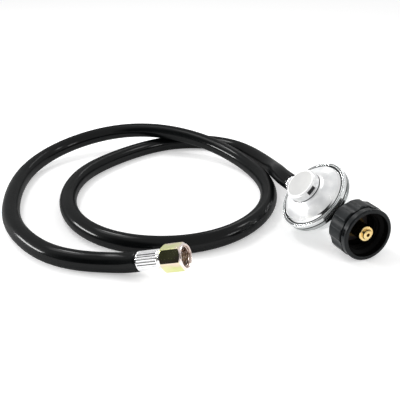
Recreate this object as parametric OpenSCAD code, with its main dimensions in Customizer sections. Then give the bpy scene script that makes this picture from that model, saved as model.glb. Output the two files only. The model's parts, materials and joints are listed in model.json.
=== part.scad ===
// Low-pressure gas regulator with its cylinder hand nut, a rubber hose and a flare nut.
// Millimetres. +X points out of the cylinder nut's mouth along the gas inlet, +Z is up,
// and the origin lies on the table, under the middle of the regulator and its hand nut.

/* [Cylinder hand nut] */
// Diameter over the grip lobes, on which the nut stands
nut_d = 46; // [45:0.5:52]
// Length from the mouth to the back
nut_length = 28; // [27:0.5:30]
// Width of the front rim
nut_rim_w = 6; // [4:0.5:7]
// Number of grip lobes
nut_lobes = 8; // [6:1:10]
// Depth of the valleys between the lobes
lobe_depth = 1.4; // [0.8:0.1:2]
// Diameter inside the coupling thread
coupling_d = 32.8; // [31:0.2:34]
// Diameter of the wide mouth in front of the coupling thread
mouth_d = 38.4; // [37:0.2:40]
// Depth of the wide mouth
mouth_depth = 5.5; // [3:0.5:6]
// Thickness of the nut's back wall
nut_back_wall = 3; // [2:0.2:4]
// Thickness of the ring that melts in a fire
bushing_t = 3.3; // [2.4:0.1:3.6]

/* [Inlet nipple] */
// Diameter of the rounded nose
nose_d = 8.8; // [8:0.1:10]
// Diameter of the plug behind the nose
plug_d = 13.2; // [12:0.1:14]
// Length of the plug behind the nose
plug_length = 16; // [13:0.5:17]
// Diameter of the flange that the nut pulls on
nipple_flange_d = 18; // [16.5:0.5:20]
// Diameter of the passage
nipple_bore_d = 6.4; // [6:0.1:7]
// Hexagon across flats
nipple_hex = 16; // [15:0.5:19]
// Travel of the excess-flow poppet
poppet_travel = 3; // [2:0.25:3.25]

/* [Regulator body] */
// Diameter over the crimped rim
rim_d = 66; // [64:0.5:72]
// Height of the crimped rim
rim_h = 7.9; // [7:0.1:9]
// Thickness of the bowl's wall
bowl_wall = 2.2; // [1.6:0.1:2.8]
// Depth of the bowl below the gas line
bowl_depth = 12.5; // [11.5:0.5:15]
// Diameter of the inlet and outlet bosses
boss_d = 21; // [18:0.5:22]
// Distance from the disc's centre to the ends of the bosses
boss_reach = 28.5; // [27:0.5:31]
// Diameter of the inlet and outlet threads
port_d = 13; // [12:0.1:14]
// Lean of the disc from lying flat, in degrees
lean = 47; // [30:1:60]

/* [Regulator cover] */
// Thickness of the cover's wall
cover_wall = 1.6; // [1.2:0.1:2]
// Diameter of the spring tower
tower_d = 29; // [27:0.5:31]
// Height of the tower's rim above the gas line
tower_top = 38.4; // [37.2:0.2:40]
// Diameter of the tower's bore
tower_bore_d = 24; // [23:0.5:25]
// Width of the vent window
vent_w = 8; // [7:0.5:10]
// Height of the vent window
vent_h = 4.2; // [3:0.2:4.6]
// Direction of the vent window from the inlet, in degrees
vent_turn = 2; // [0:0.5:20]

/* [Regulator mechanism] */
// Travel of the diaphragm from low stop to shut
travel = 3; // [2:0.25:3]
// Length of the lever's long arm
lever_arm = 14; // [13.5:0.25:14.5]
// Length of the lever's short arm
lever_finger = 7; // [6.5:0.25:7]
// Thickness of the rubber diaphragm
diaphragm_t = 0.8; // [0.6:0.1:1]
// Diameter of the diaphragm's plate
plate_d = 37; // [34:0.5:38]
// Outer diameter of the main spring
main_spring_d = 18; // [16:0.5:19]
// Wire of the main spring
main_wire = 1.4; // [1.1:0.1:1.5]
// Diameter of the lever's pin
lever_pin_d = 2; // [1.6:0.1:2.4]
// Diameter of the valve's rubber seat disc
seat_disc_d = 6.4; // [5.6:0.2:6.8]
// Diameter of the gas orifice
orifice_d = 2.8; // [2:0.2:3.2]

/* [Hose] */
// Outer diameter of the hose
hose_d = 16.5; // [15.5:0.1:16.6]
// Bore of the hose
hose_bore_d = 9.5; // [9:0.1:10]
// Outer diameter of both crimped sleeves
ferrule_d = 15.9; // [15.5:0.1:16.5]
// Wall of the crimped sleeves
ferrule_wall = 0.6; // [0.4:0.05:0.8]
// Length of the sleeve at the regulator
outlet_ferrule_length = 24; // [20:0.5:26]
// Length of the sleeve at the flare nut
end_ferrule_length = 22; // [20:0.5:24]
// Number of crimp flutes round a sleeve
flute_count = 18; // [12:1:22]
// Passage through the hose tails
tail_bore_d = 6.2; // [5:0.1:6.8]

/* [Flare nut] */
// Hexagon across flats
flare_hex = 19.5; // [19:0.05:20]
// Length of the nut
flare_nut_length = 18.4; // [17.8:0.1:20]
// Diameter inside the flare thread
flare_thread_d = 14.6; // [14:0.1:15]
// Length of the flare thread
flare_thread_length = 8; // [6:0.5:8.5]
// Diameter of the turned land at the mouth
flare_land_d = 19.1; // [18.6:0.1:19.3]

/* [Fits] */
// Radial gap of pieces that turn or slide
running_gap = 0.1; // [0.05:0.01:0.12]
// Radial gap of a pin in its hole
pin_gap = 0.05; // [0.03:0.01:0.08]
// Gap of pieces that are screwed or pressed together
seat_gap = 0.02; // [0.01:0.01:0.04]
// Gap between faces that slide on each other
face_gap = 0.1; // [0.05:0.01:0.15]

/* [Hidden] */
round_fn = 96;
small_fn = 48;
cut = 1; // how far a cutter runs past the face that it opens

// ---- Places -------------------------------------------------------------------------------
nut_r = nut_d / 2;
mouth_x = 60;
axis_y = 7.5;
axis_z = nut_r;
nut_free = 0.6; // from the hand nut's back to the nipple's hexagon
nipple_hex_length = 6;
hex_stand = 0.4; // from a hexagon to the face of its boss
disc_back = nut_length + nut_free + nipple_hex_length + hex_stand + boss_reach; // mouth to disc's centre
flare_place = [42, -143.4, 25.1]; // middle of the flare nut's mouth, held up by the stiff hose
flare_turn = 48;
flare_rise = 16.5;
flare_way = [cos(flare_rise) * cos(flare_turn), cos(flare_rise) * sin(flare_turn), sin(flare_rise)];

module on_inlet() translate([mouth_x, axis_y, axis_z]) children();
module in_regulator() translate([mouth_x - disc_back, axis_y, axis_z]) rotate([lean, 0, 0]) children();
module at_flare() translate(flare_place) rotate([0, -flare_rise, flare_turn]) children();

// ---- Shared forms -------------------------------------------------------------------------
// A turned form along X from points of [radius, x].
module turned(points, fn = round_fn) rotate([0, 90, 0]) rotate_extrude($fn = fn) polygon(points);

// A hexagon along X from x0 to x1 with its corners turned off by the given chamfer.
module hexagon(flats, x0, x1, chamfer) {
    corner_r = flats / 2 / cos(30);
    intersection() {
        translate([x0, 0, 0]) rotate([0, 90, 0]) linear_extrude(x1 - x0)
            rotate(30) circle(r = corner_r, $fn = 6);
        turned([
            [0, x0], [flats / 2, x0], [corner_r, x0 + chamfer], [corner_r, x1 - chamfer],
            [flats / 2, x1], [0, x1]
        ]);
    }
}

// Points of a hose tail: a ribbed tail from its neck at x0 to its tip at x1, where x1 < x0.
tail_r = 4.5;
tail_core_r = 4;
rib_pitch = 2.6;
function tail_outline(neck_r, x0, x1) = concat(
    [[neck_r, x0], [tail_core_r, x0]],
    [for (x = [x0 - 0.4 : -rib_pitch : x1 + rib_pitch - 0.1]) each [
        [tail_core_r, x], [tail_r, x - 0.2], [tail_core_r, x - rib_pitch + 0.1]
    ]],
    [[tail_core_r, x1 + 0.4], [tail_core_r - 0.4, x1]]
);

// Round wire or hose: rings of points, joined to one closed solid.
function ring_faces(rings, sides, out, first) = [
    for (k = [0 : rings - 2]) for (j = [0 : sides - 1])
        let (a = first + k * sides + j, b = first + k * sides + (j + 1) % sides)
        each (out ? [[a, b, b + sides], [a, b + sides, a + sides]]
                  : [[a, b + sides, b], [a, a + sides, b + sides]])
];

// A coil of round wire about Z, from z0 to z1, measured over the wire. It echoes its least gap.
module coil(outer_r, wire, turns, z0, z1, label) {
    rings_per_turn = 8;
    sides = 6;
    r = outer_r - wire / 2;
    low = z0 + wire / 2;
    rise = z1 - z0 - wire;
    rings = turns * rings_per_turn + 1;
    points = [for (k = [0 : rings - 1]) let (a = 360 * k / rings_per_turn, z = low + rise * k / (rings - 1))
        for (j = [0 : sides - 1]) let (b = 360 * j / sides, q = r + wire / 2 * cos(b))
            [q * cos(a), q * sin(a), z + wire / 2 * sin(b)]];
    last = (rings - 1) * sides;
    gap = min([for (k = [0 : rings - 1 - rings_per_turn]) for (j = [0 : sides - 1])
        min([for (i = [0 : sides - 1])
            norm(points[k * sides + j] - points[(k + rings_per_turn) * sides + i])])]);
    echo(str(label, " least gap between turns"), gap);
    polyhedron(points, concat(
        ring_faces(rings, sides, true, 0),
        [for (j = [1 : sides - 2]) [0, j + 1, j]],
        [for (j = [1 : sides - 2]) [last, last + j, last + j + 1]]
    ));
}

// ---- Cylinder hand nut --------------------------------------------------------------------
coupling_r = coupling_d / 2;
coupling_depth = 19; // the coupling thread ends here, where the nipple's flange begins
neck_r = 6.5; // the nipple's neck, on which the nut turns
bushing_r = 14;
flange_back = coupling_depth + 2.5;
nut_back = nut_length - nut_back_wall;
grip_back = nut_length - 4;
groove_w = 1.5;
front_r = nut_r - 0.5; // the front rim stays clear of what the lobes stand on
groove_r = nut_r - 2.3;
coupling_front = mouth_depth + 2; // the coupling thread begins here
pocket = [3.2, 7, 4];

module grip_outline() difference() {
    scallop_r = 12;
    circle(nut_r, $fn = round_fn);
    for (i = [0 : nut_lobes - 1]) rotate(360 * (i + 0.5) / nut_lobes)
        translate([nut_r - lobe_depth + scallop_r, 0]) circle(scallop_r, $fn = small_fn);
}

module coupling_nut() color("#2e3133") on_inlet() difference() {
    union() {
        turned([
            [0, 0], [front_r - 0.9, 0], [front_r, -0.9], [front_r, -nut_rim_w + 0.6],
            [front_r - 0.6, -nut_rim_w], [groove_r, -nut_rim_w], [groove_r, -nut_rim_w - groove_w],
            [groove_r, -grip_back], [nut_r - 2.6, -nut_length + 2.2], [nut_r - 6, -nut_length + 0.5],
            [nut_r - 6.6, -nut_length], [0, -nut_length]
        ]);
        intersection() {
            translate([-grip_back, 0, 0]) rotate([0, 90, 0])
                linear_extrude(grip_back - nut_rim_w - groove_w) grip_outline();
            turned([
                [0, -nut_rim_w], [nut_r - 0.8, -nut_rim_w - groove_w], [nut_r, -nut_rim_w - groove_w - 0.8],
                [nut_r, -grip_back + 1.2], [nut_r - 1.5, -grip_back], [0, -grip_back]
            ]);
        }
    }
    turned([
        [0, cut], [mouth_d / 2 + 0.3, cut], [mouth_d / 2 + 0.3, 0], [mouth_d / 2, -0.3],
        [mouth_d / 2, -mouth_depth], [coupling_r, -coupling_front], [coupling_r, -coupling_depth],
        [bushing_r + pin_gap, -coupling_depth], [bushing_r + pin_gap, -nut_back],
        [neck_r + running_gap, -nut_back],
        [neck_r + running_gap, -nut_length - cut], [0, -nut_length - cut]
    ]);
    for (i = [0 : 3]) rotate([90 * i + 45, 0, 0])
        translate([-nut_rim_w - pocket[0], -pocket[1] / 2, nut_r - 3.2]) cube(pocket);
}

module thermal_bushing() color("#2e211f") on_inlet() turned([
    [neck_r + pin_gap, -nut_back + face_gap], [bushing_r, -nut_back + face_gap],
    [bushing_r, -nut_back + bushing_t], [neck_r + pin_gap, -nut_back + bushing_t]
]);

// ---- Inlet nipple and its excess-flow check -----------------------------------------------
nose_r = nose_d / 2;
plug_r = plug_d / 2;
plug_front = coupling_depth - plug_length;
nose_tip = plug_front - 2.5;
nose_hole_r = 1.5;
nipple_bore_r = nipple_bore_d / 2;
bore_front = plug_front + 3;
nipple_flange_r = nipple_flange_d / 2;
boss_face = disc_back - boss_reach;
nipple_hex_front = boss_face - nipple_hex_length - hex_stand;
nipple_back = boss_face + 9;
port_r = port_d / 2;
poppet_r = nipple_bore_r - running_gap;
poppet_front = bore_front + face_gap;
keeper_front = coupling_depth + 0.2;
keeper_length = 1.8;
keeper_hole_r = 1.4;
flow_spring_shut = 4.2; // room left to the spring once the poppet has closed
poppet_length = keeper_front - poppet_front - poppet_travel - flow_spring_shut;

module inlet_nipple() color("#c9a24a") on_inlet() difference() {
    union() {
        turned([
            [0, -nose_tip], [nose_r - 1.2, -nose_tip], [nose_r - 0.35, -nose_tip - 0.35],
            [nose_r, -nose_tip - 1.2], [nose_r, -plug_front], [plug_r - 0.5, -plug_front],
            [plug_r, -plug_front - 0.5], [plug_r, -coupling_depth], [nipple_flange_r, -coupling_depth],
            [nipple_flange_r, -flange_back], [neck_r, -flange_back], [neck_r, -boss_face],
            [port_r - pin_gap, -boss_face], [port_r - pin_gap, -nipple_back + 1],
            [port_r - 1, -nipple_back], [0, -nipple_back]
        ]);
        hexagon(nipple_hex, -nipple_hex_front - nipple_hex_length, -nipple_hex_front, 0.7);
    }
    turned([
        [0, cut], [nose_hole_r, cut], [nose_hole_r, -plug_front - 1.3], [nipple_bore_r, -bore_front],
        [nipple_bore_r, -nipple_back - cut], [0, -nipple_back - cut]
    ]);
}

module flow_poppet() color("#d0a85a") on_inlet() difference() {
    turned([
        [0, -poppet_front], [1.9, -poppet_front], [poppet_r, -poppet_front - 1.4],
        [poppet_r, -poppet_front - poppet_length + 0.6], [poppet_r - 0.6, -poppet_front - poppet_length],
        [0, -poppet_front - poppet_length]
    ], small_fn);
    for (i = [0 : 3]) rotate([90 * i, 0, 0])
        translate([-poppet_front - poppet_length - cut, -0.6, 2.2]) cube([poppet_length + 2 * cut, 1.2, 2]);
}

module flow_spring() color("#c8ccd0") on_inlet() rotate([0, 90, 0])
    coil(2.2, 0.5, 5, -keeper_front + face_gap, -poppet_front - poppet_length - face_gap, "flow_spring");

module spring_keeper() color("#d0a85a") on_inlet() turned([
    [keeper_hole_r, -keeper_front], [nipple_bore_r - pin_gap, -keeper_front],
    [nipple_bore_r - pin_gap, -keeper_front - keeper_length],
    [keeper_hole_r, -keeper_front - keeper_length]
], small_fn);

// ---- Regulator body -----------------------------------------------------------------------
rim_r = rim_d / 2;
lip_top = 21.4;
rim_low = lip_top - rim_h;
lip_t = 0.95;
cover_flange_t = 1.4;
slip_t = 0.6;
lip_low = lip_top - lip_t;
flange_top = lip_low - seat_gap;
flange_low = flange_top - cover_flange_t;
slip_top = flange_low - seat_gap;
slip_low = slip_top - slip_t;
clamp_top = slip_low - seat_gap; // top of the diaphragm's edge
clamp_low = clamp_top - diaphragm_t; // the shoulder that it lies on
pocket_r = rim_r - 1.55;
shoulder_r = rim_r - 4;
lip_r = rim_r - 2.6;
bowl_r = 14;
boss_r = boss_d / 2;
seat_bore_r = 5.5;
seat_bore_x = 15.4; // inner end of the pad behind the inlet boss, which holds the valve seat
outlet_pad_x = 17.5; // inner end of the pad behind the outlet boss
pad_r = 8.5;
pad_length = 7;
inlet_bore_x = disc_back - nipple_back - 1;
post_x = -12;
post_z = 8;
post = [5, 2, 20];
post_y = 5.5;
post_top = post_z + 1.5;

module bowl_outside() rotate_extrude($fn = round_fn) polygon([
    [0, -bowl_depth], [bowl_r - 1, -bowl_depth], [bowl_r + 0.6, -bowl_depth + 0.6],
    [rim_r - 8.4, 0.5], [rim_r - 4.6, rim_low - 5.3], [rim_r - 1.8, rim_low - 1.1],
    [rim_r - 0.4, rim_low - 0.3], [rim_r, rim_low + 0.4], [rim_r, lip_top - 0.6],
    [rim_r - 0.6, lip_top], [0, lip_top]
]);

module bowl_inside() rotate_extrude($fn = round_fn) polygon([
    [0, -bowl_depth + 1.8 * bowl_wall], [bowl_r, -bowl_depth + 1.8 * bowl_wall],
    [rim_r - 8.4 - 1.8 * bowl_wall, 0.5], [shoulder_r - bowl_wall, rim_low - 4],
    [shoulder_r, rim_low + 0.5], [shoulder_r, clamp_low], [pocket_r, clamp_low], [pocket_r, lip_low],
    [lip_r, lip_low], [lip_r, lip_top - 0.3], [lip_r + 0.3 + cut, lip_top + cut], [0, lip_top + cut]
]);

module lower_body() color("#c3c7ca") in_regulator() difference() {
    union() {
        difference() {
            union() {
                bowl_outside();
                turned([
                    [0, -boss_reach], [boss_r - 0.7, -boss_reach], [boss_r, -boss_reach + 0.7],
                    [boss_r, boss_reach - 0.7], [boss_r - 0.7, boss_reach], [0, boss_reach]
                ]);
            }
            bowl_inside();
        }
        for (side = [-1, 1]) rotate([0, 90 * side, 0])
            translate([0, 0, side > 0 ? seat_bore_x : outlet_pad_x])
                cylinder(h = pad_length, r = pad_r, $fn = small_fn);
        for (side = [-1, 1]) translate([
            post_x - post[0] / 2, side * (post_y + post[1] / 2) - post[1] / 2, post_top - post[2]
        ]) cube(post);
    }
    turned([
        [0, seat_bore_x - cut], [seat_bore_r, seat_bore_x - cut], [seat_bore_r, inlet_bore_x],
        [port_r, inlet_bore_x], [port_r, boss_reach + cut], [0, boss_reach + cut]
    ]);
    turned([
        [0, -outlet_pad_x + cut], [tail_bore_d / 2, -outlet_pad_x + cut],
        [tail_bore_d / 2, -inlet_bore_x - 1],
        [port_r, -inlet_bore_x - 1], [port_r, -boss_reach - cut], [0, -boss_reach - cut]
    ]);
    translate([post_x, 0, post_z]) rotate([90, 0, 0])
        cylinder(h = 4 * post_y, r = lever_pin_d / 2 + seat_gap, center = true, $fn = small_fn);
}

// ---- Cover, vent, cap and adjusting screw -------------------------------------------------
tower_r = tower_d / 2;
tower_bore_r = tower_bore_d / 2;
tower_rise = 7.2; // of the tower over the dome
tower_foot = tower_top - tower_rise;
vent_low = tower_top - 0.5 - vent_h;
screw_r = tower_bore_r - 0.15;
screw_low = tower_foot - 0.2;
screw_t = 2.4;
spigot_length = 1.6; // of the screw, inside the main spring
key_d = 9; // over the corners of the hole for the adjusting key, which also lets the air through
cap_plug_low = screw_low + screw_t + 0.2;
cap_t = 1;
cap_plate_low = tower_top - 0.8;
cap_skirt_r = tower_bore_r - 2.2;
cap_r = tower_r - 0.9;
dome_r = lip_r - 0.4;
vent_seat_r = tower_bore_r + 0.95;
screen_t = 0.5;

// Points of the dome from its rim to the tower: share of the way in, share of the way up, and the
// direction in degrees that the wall faces there.
dome = [[0.1, 0.19, 44], [0.3, 0.43, 52], [0.54, 0.675, 58], [0.775, 0.86, 65]];
function dome_point(p, depth) = [
    dome_r - p[0] * (dome_r - tower_r) - depth * cos(p[2]),
    flange_top + p[1] * (tower_foot - flange_top) - depth * sin(p[2])
];

module upper_cover() color("#eceeef") in_regulator() difference() {
    rotate_extrude($fn = round_fn) polygon(concat(
        [[0, flange_low], [pocket_r - 0.1, flange_low], [pocket_r - 0.1, flange_top]],
        [[dome_r, flange_top], [dome_r - 0.3, flange_top + 0.7]],
        [for (p = dome) dome_point(p, 0)],
        [[tower_r + 0.5, tower_foot - 0.4], [tower_r, tower_foot + 0.3], [tower_r, tower_top - 0.4]],
        [[tower_r - 0.4, tower_top], [0, tower_top]]
    ));
    rotate_extrude($fn = round_fn) polygon(concat(
        [[0, flange_low - cut], [dome_r - cover_wall, flange_low - cut]],
        [[dome_r - cover_wall, flange_top - 0.2]],
        [for (p = dome) dome_point(p, cover_wall)],
        [[tower_bore_r, tower_foot - 1.8], [tower_bore_r, tower_top + cut], [0, tower_top + cut]]
    ));
    rotate([0, 0, vent_turn]) {
        translate([vent_seat_r, -vent_w / 2, vent_low]) cube([5, vent_w, vent_h]);
        translate([tower_bore_r - cut, -vent_w / 2 + 0.8, vent_low + 0.6])
            cube([5, vent_w - 1.6, vent_h - 1.2]);
    }
}

module vent_screen() color("#33363a") in_regulator() rotate([0, 0, vent_turn]) difference() {
    translate([vent_seat_r + seat_gap, -vent_w / 2 + pin_gap, vent_low + pin_gap])
        cube([screen_t, vent_w - 2 * pin_gap, vent_h - 2 * pin_gap]);
    for (column = [-2 : 2]) for (row = [-1 : 1])
        translate([vent_seat_r - cut, column * vent_w * 0.16, vent_low + vent_h / 2 + row * vent_h * 0.22])
            rotate([0, 90, 0]) cylinder(h = 3, d = vent_h * 0.16, $fn = 6);
}

module closing_cap() color("#dcdedd") in_regulator() difference() {
    rotate_extrude($fn = round_fn) polygon([
        [0, cap_plate_low], [cap_skirt_r, cap_plate_low], [cap_skirt_r, cap_plug_low],
        [screw_r, cap_plug_low], [screw_r, tower_top + seat_gap], [cap_r, tower_top + seat_gap],
        [cap_r, tower_top + cap_t - 0.3], [cap_r - 0.5, tower_top + cap_t], [0, tower_top + cap_t]
    ]);
    // a slot in the skirt, open downwards, leads from the vent window to the space over the screw
    rotate([0, 0, vent_turn]) translate([cap_skirt_r - 2, -vent_w / 2 + 0.8, cap_plug_low - cut])
        cube([5, vent_w - 1.6, cap_plate_low - 0.4 - cap_plug_low + cut]);
}

module adjusting_screw() color("#e4e5e2") in_regulator() difference() {
    rotate_extrude($fn = round_fn) polygon([
        [0, screw_low - spigot_length], [main_spring_d / 2 - main_wire - 1.1, screw_low - spigot_length],
        [main_spring_d / 2 - main_wire - 0.8, screw_low], [screw_r - 0.4, screw_low],
        [screw_r, screw_low + 0.4], [screw_r, screw_low + screw_t], [0, screw_low + screw_t]
    ]);
    rotate([0, 0, 15]) translate([0, 0, screw_low - spigot_length - cut])
        linear_extrude(spigot_length + screw_t + 2 * cut) circle(d = key_d, $fn = 6);
}

// ---- Diaphragm and what it carries, drawn at the low stop ---------------------------------
rest_drop = travel / 2; // the mechanism is level half way, and rests this far below
centre_low = clamp_low - rest_drop; // underside of the diaphragm's middle
centre_top = centre_low + diaphragm_t;
plate_r = plate_d / 2;
plate_low = centre_top + seat_gap;
plate_t = 1;
roll_r = 2.9;
roll_x = plate_r + 3.5;
roll_z = centre_top + 0.35;
stud_r = 1.5;
stud_hole_r = stud_r + 0.08;

module main_spring() color("#b9bec3") in_regulator() coil(
    main_spring_d / 2, main_wire, 4.5, plate_low + plate_t + pin_gap, screw_low - pin_gap, "main_spring"
);

module slip_ring() color("#d9d9d4") in_regulator() rotate_extrude($fn = round_fn) polygon([
    [shoulder_r - 0.3, slip_low], [pocket_r - 0.1, slip_low],
    [pocket_r - 0.1, slip_top], [shoulder_r - 0.3, slip_top]
]);

module diaphragm() color("#4a3a34") in_regulator() rotate_extrude($fn = round_fn) {
    translate([stud_hole_r, centre_low])
        square([roll_x - roll_r + diaphragm_t - stud_hole_r, diaphragm_t]);
    intersection() {
        difference() {
            translate([roll_x, roll_z]) circle(roll_r, $fn = small_fn);
            translate([roll_x, roll_z]) circle(roll_r - diaphragm_t, $fn = small_fn);
        }
        translate([0, roll_z - 2 * roll_r]) square([rim_d, 2 * roll_r]);
    }
    translate([roll_x + roll_r - diaphragm_t, roll_z - 0.01])
        square([diaphragm_t, clamp_top - roll_z + 0.01]);
    translate([roll_x + roll_r - diaphragm_t, clamp_low])
        square([pocket_r - 0.1 - roll_x - roll_r + diaphragm_t, diaphragm_t]);
}

module diaphragm_plate() color("#bfc3c4") in_regulator() rotate_extrude($fn = round_fn) polygon([
    [stud_hole_r, plate_low], [plate_r, plate_low], [plate_r, plate_low + 2.2],
    [plate_r - 0.8, plate_low + 2.2], [plate_r - 0.8, plate_low + plate_t],
    [main_spring_d / 2 + 1, plate_low + plate_t], [main_spring_d / 2 + 1, plate_low + plate_t + 0.8],
    [main_spring_d / 2 + 0.2, plate_low + plate_t + 0.8], [main_spring_d / 2 + 0.2, plate_low + plate_t],
    [stud_hole_r, plate_low + plate_t]
]);

pusher_r = 2.4;
nose_pin_r = 1; // round nose of the lever's long arm
catch_r = 4;
catch_t = 1;
catch_z = post_z - rest_drop; // height of the lever's nose at rest
catch_low = catch_z - nose_pin_r - face_gap;
catch_high = catch_z + nose_pin_r + face_gap;
washer_r = 7;
washer_t = 1.1;
washer_top = centre_low - seat_gap;
stud_high = 25; // top of the stud when the mechanism is level
stud_top = stud_high - rest_drop;
retainer_r = 3.4;
retainer_t = 1;
retainer_low = stud_top - 0.5 - retainer_t;

module pusher() color("#cfd2d4") in_regulator() rotate_extrude($fn = small_fn) polygon([
    [0, catch_low - catch_t], [catch_r, catch_low - catch_t], [catch_r, catch_low], [pusher_r, catch_low],
    [pusher_r, catch_high], [catch_r, catch_high], [catch_r, catch_high + catch_t],
    [pusher_r, catch_high + catch_t], [pusher_r, washer_top - washer_t], [washer_r, washer_top - washer_t],
    [washer_r, washer_top], [stud_r, washer_top], [stud_r, stud_top - 0.3], [stud_r - 0.3, stud_top],
    [0, stud_top]
]);

module relief_spring() color("#b9bec3") in_regulator() coil(
    2.6, 0.5, 4, plate_low + plate_t + pin_gap, retainer_low - pin_gap, "relief_spring"
);

module relief_retainer() color("#c9a24a") in_regulator() rotate_extrude($fn = small_fn) polygon([
    [stud_r + pin_gap, retainer_low], [retainer_r, retainer_low],
    [retainer_r, retainer_low + retainer_t], [stud_r + pin_gap, retainer_low + retainer_t]
]);

// ---- Lever and valve, at rest with the valve open -----------------------------------------
rest_angle = asin(rest_drop / lever_arm);
stem_drop = lever_finger * sin(rest_angle); // the stem rests this far from its middle place
hub_r = 2;
hub_half = post_y - 0.3;
prong_y = pusher_r + 0.2;
prong_t = 1.2;
finger_r = 1.15;

module at_lever() in_regulator() translate([post_x, 0, post_z]) children();

module lever() color("#c9a24a") at_lever() rotate([0, rest_angle, 0]) difference() {
    union() {
        rotate([90, 0, 0]) cylinder(h = 2 * hub_half, r = hub_r, center = true, $fn = small_fn);
        for (side = [-1, 1]) translate([0, side * (prong_y + prong_t / 2), 0]) rotate([90, 0, 0])
            linear_extrude(prong_t, center = true) {
                polygon([
                    [0, 1.6], [lever_arm - 5.6, 0.5], [lever_arm, 0.5],
                    [lever_arm, -0.5], [lever_arm - 5.6, -0.5], [0, -1.6]
                ]);
                translate([lever_arm, 0]) circle(nose_pin_r, $fn = small_fn);
            }
        rotate([90, 0, 0]) linear_extrude(3.6, center = true) {
            polygon([
                [-1.8, 0], [1.8, 0], [0.8, -4], [0.8, -lever_finger], [-0.8, -lever_finger], [-0.8, -4]
            ]);
            translate([0, -lever_finger]) circle(finger_r, $fn = small_fn);
        }
    }
    rotate([90, 0, 0])
        cylinder(h = 4 * post_y, r = lever_pin_d / 2 + pin_gap, center = true, $fn = small_fn);
}

module lever_pin() color("#9aa0a5") at_lever() rotate([90, 0, 0])
    cylinder(h = 2 * (post_y + post[1]), r = lever_pin_d / 2, center = true, $fn = small_fn);

cage_r = seat_bore_r - pin_gap;
cage_bore_r = 4;
cage_front = 6;
cage_back = inlet_bore_x - 0.1;
lip_x = 15; // the raised lip that the seat disc shuts on
head_r = cage_bore_r - running_gap;
head_front = 13 - stem_drop;
head_back = 8 - stem_drop;
disc_front = lip_x - seat_gap - 2 * stem_drop;
disc_t = 2;
stem_r = 2.3;
stem_back = -15.5 - stem_drop;
slot_x = post_x - stem_drop;
slot_half = finger_r + face_gap;

module valve_stem() color("#d8dadb") in_regulator() difference() {
    turned([
        [0, head_front], [head_r, head_front], [head_r, head_back], [stem_r, head_back - 1.2],
        [stem_r, stem_back + 0.4], [stem_r - 0.4, stem_back], [0, stem_back]
    ], small_fn);
    turned([
        [0, head_front + cut], [seat_disc_d / 2 + seat_gap, head_front + cut],
        [seat_disc_d / 2 + seat_gap, disc_front - disc_t], [0, disc_front - disc_t]
    ], small_fn);
    translate([slot_x - slot_half, -stem_r - cut, -0.6]) cube([2 * slot_half, 2 * (stem_r + cut), 4]);
    for (i = [0 : 3]) rotate([90 * i + 45, 0, 0]) translate([head_back - 2, -0.6, 2.9])
        cube([head_front - head_back + 3, 1.2, 3]);
}

module seat_disc() color("#26282a") in_regulator() turned([
    [0, disc_front], [seat_disc_d / 2 - 0.2, disc_front], [seat_disc_d / 2, disc_front - 0.2],
    [seat_disc_d / 2, disc_front - disc_t + seat_gap], [0, disc_front - disc_t + seat_gap]
], small_fn);

module valve_seat() color("#c9a24a") in_regulator() difference() {
    turned([
        [0, cage_front], [cage_r - 0.4, cage_front], [cage_r, cage_front + 0.4],
        [cage_r, cage_back], [0, cage_back]
    ], small_fn);
    turned([
        [0, cage_front - cut], [cage_bore_r, cage_front - cut], [cage_bore_r, lip_x + 0.5],
        [orifice_d / 2 + 0.5, lip_x + 0.5], [orifice_d / 2 + 0.3, lip_x], [0, lip_x]
    ], small_fn);
    turned([[0, 0], [orifice_d / 2, 0], [orifice_d / 2, cage_back + cut], [0, cage_back + cut]], small_fn);
    for (i = [0 : 3]) rotate([90 * i + 45, 0, 0]) translate([lip_x - 1.2, 0, 0])
        cylinder(h = cage_r + cut, r = 1.1, $fn = small_fn);
}

// ---- Hose tails and crimped sleeves -------------------------------------------------------
ferrule_r = ferrule_d / 2;
squeezed_r = ferrule_r - ferrule_wall - pin_gap;
tail_bore_r = tail_bore_d / 2;
collar_t = 2;
outlet_hex = 15;
outlet_hex_end = boss_reach + 6.5;
outlet_neck_r = 4.95;
outlet_collar = outlet_hex_end + 1.5;
outlet_hose_end = outlet_collar + collar_t + 0.2;
outlet_tip = outlet_collar + outlet_ferrule_length - 4;
flare_neck_r = 5.4;
end_collar = flare_nut_length + 0.4;
end_hose_end = end_collar + collar_t + 0.2;
end_tip = end_collar + end_ferrule_length + 1.5;

// A crimped sleeve along X, its collar's face at x = 0 and its mouth at -length.
module crimped_sleeve(length, hole_r) difference() {
    turned([
        [hole_r, 0], [ferrule_r - 0.4, 0], [ferrule_r, -0.4], [ferrule_r, -length + 0.3],
        [ferrule_r - 0.3, -length], [ferrule_r - ferrule_wall, -length],
        [ferrule_r - ferrule_wall, -collar_t], [hole_r, -collar_t]
    ]);
    flute_r = 0.6;
    for (i = [0 : flute_count - 1]) rotate([360 * i / flute_count, 0, 0])
        translate([-length - cut, 0, ferrule_r + 0.25]) rotate([0, 90, 0])
            cylinder(h = length + cut - collar_t - 0.6, r = flute_r, $fn = 16);
}

module outlet_stem() color("#b9ab7c") in_regulator() difference() {
    union() {
        turned(concat([
            [0, -inlet_bore_x - 1.2], [port_r - 1, -inlet_bore_x - 1.2],
            [port_r - pin_gap, -inlet_bore_x - 2], [port_r - pin_gap, -boss_reach - 0.2],
            [outlet_neck_r, -boss_reach - 0.2]
        ], tail_outline(outlet_neck_r, -outlet_hose_end, -outlet_tip), [[0, -outlet_tip]]));
        hexagon(outlet_hex, -outlet_hex_end, -boss_reach - 0.2, 0.7);
    }
    turned([
        [0, 0], [tail_bore_r, 0], [tail_bore_r, -outlet_tip - cut], [0, -outlet_tip - cut]
    ]);
}

module outlet_ferrule() color("#d5d8da") in_regulator() translate([-outlet_collar, 0, 0])
    crimped_sleeve(outlet_ferrule_length, outlet_neck_r + pin_gap);

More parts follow.
